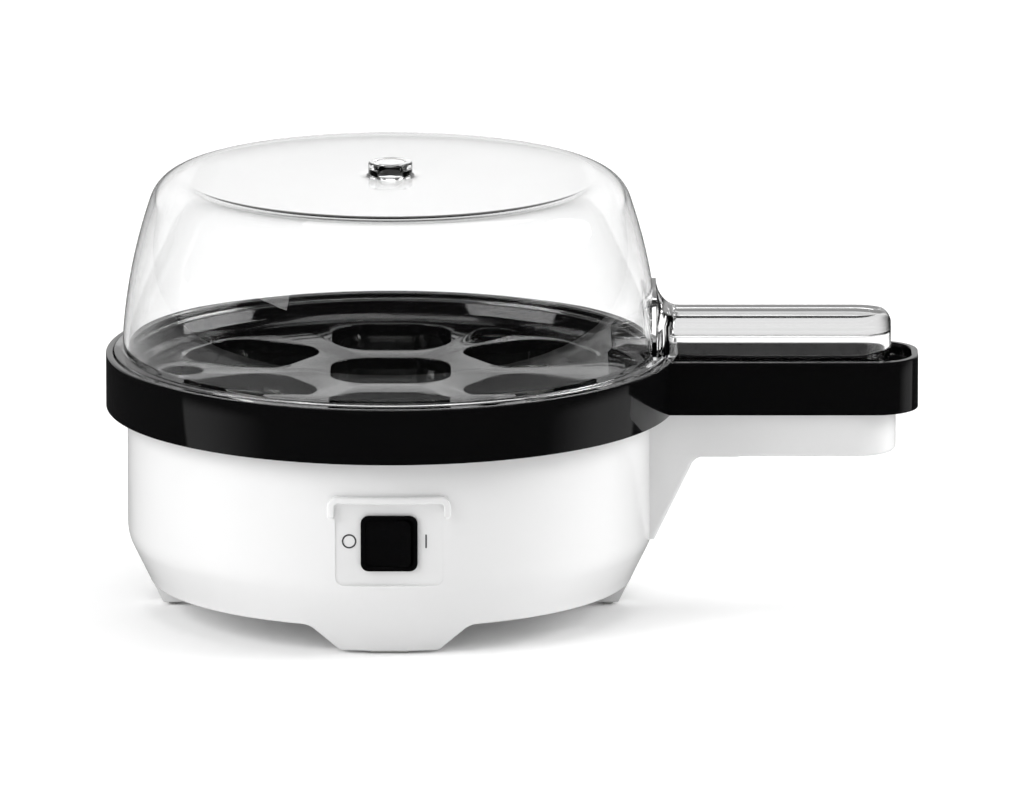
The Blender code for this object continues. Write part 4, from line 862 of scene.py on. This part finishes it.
def build_rack(black):
    levels = eased(FOOT_EDGE, RING_BOTTOM, -1)[::-1] + eased(TROUGH_EDGE, TROUGH_RIM, 1)
    bar = handle_solid(SEAT_RADIUS, TROUGH_END, TROUGH_HALF, TROUGH_CORNER, levels)
    inner = (TROUGH_END - RING_WALL, TROUGH_HALF - RING_WALL, TROUGH_CORNER - RING_WALL)
    upper = eased(TROUGH_FILLET, TROUGH_FLOOR, -1)[::-1]
    rim = ((-0.5 * MM, 0), (-0.15 * MM, -0.15 * MM), (0.2 * MM, -0.6 * MM))
    upper += [(TROUGH_RIM + rise, inset) for rise, inset in rim]
    lower = [(RING_BOTTOM - OVER, 0), (TROUGH_FLOOR - RING_WALL, 0)]
    cuts = []
    for levels in (upper, lower):
        cavity = handle_solid(SEAT_RADIUS, *inner, levels)
        keep = disc(RING_RADIUS + GAP, levels[0][0] - OVER, levels[-1][0] + OVER, ROUND_STEPS)
        cuts.append(("DIFFERENCE", shaped(cavity, ("DIFFERENCE", keep))))
    inside = disc(RING_RADIUS - RING_WALL / 2, RING_BOTTOM - OVER, RING_TOP + OVER, ROUND_STEPS)
    bar = shaped(bar, ("DIFFERENCE", inside))
    low = PLATE_Z - EGG_COLLAR
    collars, holes = [], []
    for x, y, angle in [(0, 0, 0), *round_places(6, EGG_PITCH, 30)]:
        loops = []
        for height, inset in ((low, 0.4 * MM), (low + 0.4 * MM, 0), (PLATE_Z - PLATE_WALL / 2, 0)):
            half = EGG_HALF + COLLAR_WALL - inset
            outline = rounded_box(half, half, EGG_CORNER + COLLAR_WALL - inset, steps=16)
            loops.append([(u, v, height) for u, v in outline])
        collars.append(moved(loft(loops), (x, y, 0), angle))

        def hole_outline(grow):
            return rounded_box(EGG_HALF + grow, EGG_HALF + grow, EGG_CORNER + grow, steps=16)

        holes.append(moved(hole_cutter(hole_outline, low - OVER, EGG_LIP), (x, y, 0), angle))

    def steam_outline(grow):
        return arc((0, 0), STEAM_RADIUS + grow, 0, math.tau * (1 - 1 / HOLE_STEPS), HOLE_STEPS - 1)

    for x, y, _ in round_places(3, STEAM_PITCH, 60):
        holes.append(moved(hole_cutter(steam_outline, SEAT_Z - OVER, EGG_LIP / 2), (x, y, 0)))
    mesh = shaped(
        turned(rack_section()),
        ("UNION", bar),
        *cuts,
        ("UNION", combined(collars)),
        ("DIFFERENCE", combined(holes)),
    )
    place_piece("rack", mesh, black, "carrier", "black_plastic", "egg_carrier")


# ---- lid


def dome_curve(inset, low, steps=40):
    """Section of the dome from its flat top down its shoulder and wall, inset from the outside."""
    wall_centre = (LID_RADIUS - LID_ARC, LID_ARC_Z)
    shoulder_z = LID_TOP - LID_SHOULDER
    reach = LID_ARC - LID_SHOULDER
    rise = math.asin((shoulder_z - LID_ARC_Z) / reach)
    shoulder_centre = (wall_centre[0] + reach * math.cos(rise), shoulder_z)
    wall = LID_ARC - inset
    foot = math.asin((low - LID_ARC_Z) / wall)
    shoulder = arc(shoulder_centre, LID_SHOULDER - inset, math.pi / 2, rise, 14)
    return shoulder + arc(wall_centre, wall, rise, foot, steps)[1:]


def dome_radius(height):
    """Outer radius of the dome's wall at a height."""
    return LID_RADIUS - LID_ARC + math.sqrt(LID_ARC**2 - (height - LID_ARC_Z) ** 2)


def lid_grip():
    """The lid's handle: a bar with a rounded top whose root flares into the dome."""
    root = dome_radius(LID_GRIP_TOP) - LID_GRIP_SUNK
    fillet_end = dome_radius(LID_GRIP_TOP) + LID_GRIP_FILLET
    stations = [root]
    stations += [fillet_end - LID_GRIP_FILLET * math.cos(math.pi / 2 * k / 10) for k in range(11)]
    straight = LID_GRIP_END - LID_GRIP_CORNER
    stations += [fillet_end + (straight - fillet_end) * k / 8 for k in range(1, 9)]
    stations += [straight + LID_GRIP_CORNER * math.sin(math.pi / 2 * k / 16) for k in range(1, 16)]
    stations.append(LID_GRIP_END - 0.02 * MM)
    bottom = TROUGH_FLOOR + GAP
    loops = []
    for x in stations:
        flare = 0
        if x < fillet_end:
            along = min(1.0, (fillet_end - x) / LID_GRIP_FILLET)
            flare = LID_GRIP_FILLET * (1 - math.sqrt(1 - along**2))
        half = LID_GRIP_HALF + flare
        if x > straight:
            half = LID_GRIP_HALF - LID_GRIP_CORNER
            half += math.sqrt(max(0.0, LID_GRIP_CORNER**2 - (x - straight) ** 2))
        near = LID_GRIP_END - x
        drop = 0
        if near < LID_GRIP_EASE:
            drop = LID_GRIP_EASE - math.sqrt(LID_GRIP_EASE**2 - (LID_GRIP_EASE - near) ** 2)
        top = LID_GRIP_TOP + flare - drop
        ease = min(LID_GRIP_EASE, half * 0.9, top - bottom - MM)
        section = arc((half - ease, top - ease), ease, 0, math.pi / 2, 10)
        section = [(half, bottom), *section]
        section += [(-u, v) for u, v in section[::-1]]
        loops.append([(x, u, v) for u, v in section])
    return loft(loops)


def build_lid(clear):
    rim_top = LID_BOTTOM + LID_FLANGE
    wall = dome_curve(0, rim_top)
    vent_top = LID_TOP + VENT_HEIGHT
    vent_side = [(VENT_BOSS, vent_top, VENT_LIP), (VENT_BOSS, LID_TOP, LID_BLEND)]
    outline = rounded([(0, vent_top, 0), *vent_side, (VENT_BOSS + VENT_APRON, LID_TOP, 0)], 6, closed=False)
    outline += wall[:-1]
    foot = wall[-1][0] + 0.1 * MM
    flange = [
        (foot, rim_top + LID_BLEND, 0),
        (foot, rim_top, LID_BLEND * 0.6),
        (LID_RIM, rim_top, 0.5 * MM),
        (LID_RIM, LID_BOTTOM, 0.3 * MM),
        (0, LID_BOTTOM, 0),
    ]
    outline += rounded(flange, 5, closed=False)
    ring_room = disc(RING_RADIUS + 2 * GAP, TROUGH_FLOOR - OVER, RING_TOP + GAP, ROUND_STEPS)
    grip = shaped(lid_grip(), ("DIFFERENCE", ring_room))
    hollow = [(0, LID_TOP - LID_WALL), *dome_curve(LID_WALL, LID_BOTTOM - GAP), (0, LID_BOTTOM - GAP)]
    channel = handle_solid(
        LID_RIM + GAP,
        LID_GRIP_END - LID_WALL,
        LID_GRIP_HALF - LID_WALL,
        LID_GRIP_CORNER - LID_WALL,
        [(TROUGH_FLOOR - OVER, 0), *eased(LID_BLEND, LID_GRIP_TOP - LID_GRIP_ROOF, 1)],
    )
    mouth = VENT_HOLE + VENT_LIP
    vent_section = [
        (0, LID_TOP + OVER),
        (mouth, LID_TOP + OVER),
        (mouth, vent_top + 0.01 * MM),
        (VENT_HOLE + 0.2 * MM, vent_top - 0.2 * MM),
        (VENT_HOLE, vent_top - VENT_LIP),
        (VENT_HOLE, LID_TOP - OVER),
        (0, LID_TOP - OVER),
    ]
    mesh = shaped(
        turned(outline),
        ("UNION", grip),
        ("DIFFERENCE", turned(hollow)),
        ("DIFFERENCE", channel),
        ("DIFFERENCE", turned(vent_section, 96)),
    )
    place_piece("clear_lid", mesh, clear, "lid", "clear_plastic", "lid")


# ---- the other parts


def finer(node, body, finish, slot, width, segments=2, sharp=30):
    """A copy of a CAD node's shape with its edges rounded, standing for it."""
    bm = bmesh.new()
    bm.from_mesh(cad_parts[node].data)
    bmesh.ops.remove_doubles(bm, verts=bm.verts, dist=MM / 1000)
    bmesh.ops.dissolve_limit(bm, angle_limit=math.radians(1), verts=bm.verts, edges=bm.edges)
    mesh = mesh_from(bm)
    piece = place_piece(f"{node}_fine", mesh, finish, body, slot, node, location=(-AXIS_X, 0, 0), sharp=sharp)
    bevel = piece.modifiers.new("Rounded edges", "BEVEL")
    bevel.width = width
    bevel.segments = segments
    bevel.limit_method = "ANGLE"
    bevel.angle_limit = math.radians(28)
    return piece


def paint(node, finish):
    """Gives a CAD node that is shown as it is its procedural finish."""
    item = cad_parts[node]
    item.data.materials.clear()
    item.data.materials.append(finish)


def fine_screw(node, finish, up, head_radius):
    """A pan-head screw with a cross recess and grooves for a thread, in the place of a CAD screw."""
    low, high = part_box(node)
    centre = (low + high) / 2
    head = SCREW_HEAD
    shank = high.z - low.z - head
    profile = [(0, shank), (SCREW_RADIUS * 0.3, shank), (SCREW_RADIUS, shank - SCREW_RADIUS)]
    for i in range(int((shank - SCREW_RADIUS - THREAD_END) / THREAD_PITCH)):
        top = shank - SCREW_RADIUS - i * THREAD_PITCH
        profile += [(THREAD_CORE, top - share * THREAD_PITCH) for share in (0.35, 0.65)]
        profile.append((SCREW_RADIUS, top - THREAD_PITCH))
    profile += [(SCREW_RADIUS, 0), (head_radius - 0.1 * MM, 0)]
    profile += [(head_radius, -0.15 * MM), (head_radius, -0.8 * MM)]
    profile += arc((head_radius * 0.45, -0.8 * MM), head_radius * 0.55, 0, -math.pi / 2, 5)[1:]
    profile = [p if p[1] >= -head else (p[0], -head) for p in profile]
    profile.append((0, -head))
    body = turned(profile, 40)
    arm, half = head_radius * 0.55, head_radius * 0.12
    cutters = []
    for u, v in ((arm, half), (half, arm)):
        loops = []
        for height, share in ((-head - MM, 1.15), (-head + 1.2 * MM, 0.6)):
            loops.append([(x * share, y * share, height) for x, y in ((-u, -v), (u, -v), (u, v), (-u, v))])
        cutters.append(("DIFFERENCE", loft(loops)))
    mesh = shaped(body, *cutters)
    seat = low.z + head
    if not up:
        moved(mesh, turn=math.pi, axis="X")
        seat = high.z - head
    place = (centre.x - AXIS_X, centre.y, seat)
    place_piece(f"{node}_fine", mesh, finish, "base", "zinc_steel", node, location=place)


def dish_section():
    """Spun dish: a flat floor with a raised ring, an upright wall, a flat rim with a turned edge."""
    floor, rim = DISH_FLOOR, DISH_TOP - DISH_SHEET
    step_start, step_end = DISH_STEP
    corners = [
        (0, floor, 0),
        (step_start, floor, 0.6 * MM),
        (step_start + DISH_STEP_SIDE, floor + DISH_STEP_RISE, 0.5 * MM),
        (step_end - DISH_STEP_SIDE, floor + DISH_STEP_RISE, 0.5 * MM),
        (step_end, floor, 0.6 * MM),
        (DISH_FLOOR_EDGE, floor, 4.0 * MM),
        (DISH_WALL_TOP, DISH_TOP, 1.0 * MM),
        (DISH_EDGE, DISH_TOP, 0.4 * MM),
        (DISH_EDGE, rim, 0.4 * MM),
        (DISH_WALL_TOP + DISH_SHEET, rim, 0.6 * MM),
        (DISH_FLOOR_EDGE + DISH_SHEET, floor - DISH_SHEET, 4.5 * MM),
        (0, floor - DISH_SHEET, 0),
    ]
    return rounded(corners, 6, closed=False)


def build_dish(steel):
    seats = round_places(3, DISH_SCREW_PITCH, 30)
    holes = [moved(disc(SCREW_RADIUS + GAP, SHELF_Z, RING_TOP), (x, y, 0)) for x, y, _ in seats]
    mesh = shaped(turned(dish_section()), ("DIFFERENCE", combined(holes)))
    place_piece("water_dish", mesh, steel, "base", "dish_steel", "heating_dish")


def build_inside(white, dark):
    zinc = metal_finish("zinc_steel_fine", (0.6, 0.6, 0.58), 0.35)
    gland = rubber_finish("gland_rubber_fine", (0.6, 0.6, 0.6))
    silicone = rubber_finish("seal_silicone_fine", (0.55, 0.16, 0.1))
    spread = metal_finish("spreader_aluminium_fine", (0.75, 0.75, 0.76), 0.4, 900, relief=0.5)
    element = metal_finish("element_steel_fine", (0.33, 0.32, 0.3), 0.45, 300)
    ceramic = moulded("ceramic_white_fine", (0.8, 0.78, 0.72), 0.4, spread=0.05, relief=0.4)
    brass = metal_finish("terminal_brass_fine", (0.8, 0.6, 0.25), 0.3)
    bronze = metal_finish("contact_bronze_fine", (0.7, 0.42, 0.22), 0.35)
    sleeve = sleeve_finish("fuse_sleeve_fine", (0.75, 0.73, 0.66))
    finer("base_cover", "base", white, "white_plastic", 0.3 * MM)
    finer("cord_clamp", "base", white, "white_plastic", 0.3 * MM)
    finer("switch_body", "base", dark, "switch_plastic", 0.25 * MM)
    finer("cord_gland", "base", gland, "gland_rubber", 0.3 * MM, sharp=35)
    finer("dish_seal", "base", silicone, "seal_silicone", 0.2 * MM)
    finer("terminal_block", "base", ceramic, "ceramic_white", 0.4 * MM)
    finer("thermostat", "base", ceramic, "ceramic_white", 0.25 * MM)
    finer("thermostat_bracket", "base", zinc, "zinc_steel", 0.15 * MM)
    for i in (1, 2):
        finer(f"thermostat_nut_{i}", "base", zinc, "zinc_steel", 0.25 * MM)
        finer(f"switch_terminal_{i}", "base", brass, "terminal_brass", 0.15 * MM)
        fine_screw(f"cord_clamp_screw_{i}", zinc, False, 3.0 * MM)
    for i in (1, 2, 3):
        fine_screw(f"dish_screw_{i}", zinc, False, 2.48 * MM)
    for i in (1, 2, 3, 4):
        fine_screw(f"cover_screw_{i}", zinc, True, 3.0 * MM)
    finer("contact_lever", "lever", bronze, "contact_bronze", 0.1 * MM)
    finer("heat_spreader", "base", spread, "spreader_aluminium", 0.25 * MM)
    paint("heating_element", element)
    paint("thermal_fuse", sleeve)
    leads = (
        ("lead_brown", (0.2, 0.08, 0.04), ("live", "switched", "fuse_in", "fuse_out")),
        ("lead_blue", (0.05, 0.16, 0.5), ("neutral",)),
        ("lead_green", (0.25, 0.5, 0.08), ("earth",)),
    )
    for slot, colour, names in leads:
        finish = cable_finish(f"{slot}_fine", colour)
        for name in names:
            paint(f"lead_{name}", finish)


# ---- stage


FLOOR_RADIUS = 4.0
FLOOR_GREY = (0.9, 0.9, 0.9)
FLOOR_GLOW = 0.06  # lifts the floor to full white where the camera or a clear part sees it

# What gloss reflects, where 1 is white. Heights are the Z of a direction, and turns are its
# degrees about Z, from the front towards +X.
STUDIO_BASE = 0.03
STUDIO_SKY = (0.86, 0.95, 0.0, 0.7)
STUDIO_BEHIND = (118, 160)
STUDIO_BEHIND_LOW = (-0.05, 0.06, 0.0, 1.0)
STUDIO_BEHIND_HIGH = (0.42, 0.62, 1.0, 0.0)
STUDIO_PANELS = (((-93, -91), (-86, -45), 0.58), ((62, 96), (116, 119), 0.55))
STUDIO_PANEL_TOP = (-0.17, -0.1, 1.0, 0.0)
SOFT_LEVEL = 0.46  # even light on surfaces without gloss

LAMP_AIM = (0, 0, 0.06)
CAMERA_DISTANCE = 6.0
CAMERA_ELEVATION = 12.36
CAMERA_AIM = (0.0, 0.0, 0.0694)
CAMERA_LENS = 631.0


def build_stage():
    """A floor that shows as white and keeps the object's shadow."""
    mesh = disc(FLOOR_RADIUS, -MM, 0, 96)
    floor = added("floor", mesh)
    sockets = {"Specular_IOR_Level": 0.0, "Emission_Color": (1, 1, 1, 1)}
    made = finish_material("floor_white", FLOOR_GREY, 0.9, **sockets)
    tree = made.node_tree
    shader = tree.nodes["Principled BSDF"]
    path = tree.nodes.new("ShaderNodeLightPath")
    seen = joined(tree, "MAXIMUM", path.outputs["Is Camera Ray"], path.outputs["Is Transmission Ray"])
    colour = tree.nodes.new("ShaderNodeMix")
    colour.data_type = "RGBA"
    colour.inputs[6].default_value = (*FLOOR_GREY, 1)
    colour.inputs[7].default_value = (1, 1, 1, 1)
    tree.links.new(seen, colour.inputs["Factor"])
    tree.links.new(colour.outputs[2], shader.inputs["Base Color"])
    tree.links.new(joined(tree, "MULTIPLY", seen, FLOOR_GLOW), shader.inputs["Emission Strength"])
    mesh.materials.append(made)
    floor.visible_glossy = False


def studio_level(tree):
    """How bright the studio is in each direction: a bright sky, a dark floor, a white band behind
    the object and a soft low panel on each side."""

    def ramp(value, *numbers):
        return mapped(tree, value, *numbers, kind="SMOOTHSTEP")

    place = tree.nodes.new("ShaderNodeTexCoord")
    split = tree.nodes.new("ShaderNodeSeparateXYZ")
    tree.links.new(place.outputs["Generated"], split.inputs["Vector"])
    height = split.outputs["Z"]
    turn = joined(tree, "ARCTAN2", split.outputs["X"], joined(tree, "MULTIPLY", split.outputs["Y"], -1.0))
    total = joined(tree, "MAXIMUM", ramp(height, *STUDIO_SKY), STUDIO_BASE)
    start, end = (math.radians(angle) for angle in STUDIO_BEHIND)
    behind = ramp(joined(tree, "ABSOLUTE", turn, 0.0), start, end, 0.0, 1.0)
    band = joined(tree, "MULTIPLY", ramp(height, *STUDIO_BEHIND_LOW), ramp(height, *STUDIO_BEHIND_HIGH))
    total = joined(tree, "MAXIMUM", total, joined(tree, "MULTIPLY", behind, band))
    low = ramp(height, *STUDIO_PANEL_TOP)
    for rises, falls, level in STUDIO_PANELS:
        rise = ramp(turn, *map(math.radians, rises), 0.0, level)
        fall = ramp(turn, *map(math.radians, falls), level, 0.0)
        panel = joined(tree, "MULTIPLY", joined(tree, "MINIMUM", rise, fall), low)
        total = joined(tree, "MAXIMUM", total, panel)
    return total


def build_world():
    """White to the camera and through clear parts, the studio to gloss, and an even light else."""
    world = bpy.data.worlds.new("studio")
    bpy.context.scene.world = world
    world.use_nodes = True
    tree = world.node_tree
    tree.nodes.clear()
    out = tree.nodes.new("ShaderNodeOutputWorld")
    path = tree.nodes.new("ShaderNodeLightPath").outputs

    def background(strength):
        node = tree.nodes.new("ShaderNodeBackground")
        feed(tree, node.inputs["Strength"], strength)
        return node.outputs["Background"]

    def either(share, first, second):
        node = tree.nodes.new("ShaderNodeMixShader")
        for socket, value in zip(node.inputs, (share, first, second)):
            tree.links.new(value, socket)
        return node.outputs["Shader"]

    gloss = joined(tree, "MAXIMUM", path["Is Glossy Ray"], path["Is Transmission Ray"])
    before_gloss = joined(tree, "LESS_THAN", path["Glossy Depth"], 0.5)
    through = joined(tree, "MULTIPLY", path["Is Transmission Ray"], before_gloss)
    seen = joined(tree, "MAXIMUM", path["Is Camera Ray"], through)
    unseen = either(gloss, background(SOFT_LEVEL), background(studio_level(tree)))
    tree.links.new(either(seen, unseen, background(1.0)), out.inputs["Surface"])


def add_lamp(name, place, size, power):
    """A square soft lamp that gloss doesn't show."""
    data = bpy.data.lights.new(name, "AREA")
    data.shape = "RECTANGLE"
    data.size = data.size_y = size
    data.energy = power
    lamp = added(name, data)
    lamp.location = place
    lamp.rotation_euler = (Vector(LAMP_AIM) - Vector(place)).to_track_quat("-Z", "Y").to_euler()
    lamp.visible_glossy = False


def build_lamps():
    add_lamp("left", (-1.7, -0.8, 1.1), 1.4, 30)
    add_lamp("right", (1.9, 0.15, 1.1), 1.4, 36)
    add_lamp("top", (0.1, 0.3, 2.0), 1.6, 15)


def build_camera():
    data = bpy.data.cameras.new("camera")
    data.sensor_width = 36.0
    data.lens = CAMERA_LENS
    camera = added("camera", data)
    lean = math.radians(CAMERA_ELEVATION)
    back = Vector((0, -math.cos(lean), math.sin(lean)))
    camera.location = Vector(CAMERA_AIM) + back * CAMERA_DISTANCE
    camera.rotation_euler = (-back).to_track_quat("-Z", "Y").to_euler()
    bpy.context.scene.camera = camera


# ---- assembly

build_camera()
build_world()
build_lamps()
build_stage()
white_plastic = moulded("white_plastic_fine", (0.88, 0.88, 0.88), 0.2)
black_plastic = moulded("black_plastic_fine", (0.0028, 0.0028, 0.003), 0.06, spread=0.1, relief=0.01)
switch_plastic = moulded("switch_plastic_fine", (0.0025, 0.0025, 0.0028), 0.08, spread=0.1, relief=0.05)
build_housing(white_plastic)
build_marks(moulded("mark_ink", (0.05, 0.05, 0.055), 0.4, spread=0.1))
build_pads(rubber_finish("pad_rubber_fine", (0.62, 0.62, 0.6)))
build_rack(black_plastic)
build_lid(clear_finish())
build_dish(spun_finish("dish_steel_fine", (0.55, 0.55, 0.54), 0.3))
build_inside(white_plastic, switch_plastic)
finer("switch_rocker", "rocker", switch_plastic, "switch_plastic", 0.3 * MM, 3)

bpy.context.scene.view_settings.view_transform = "Standard"
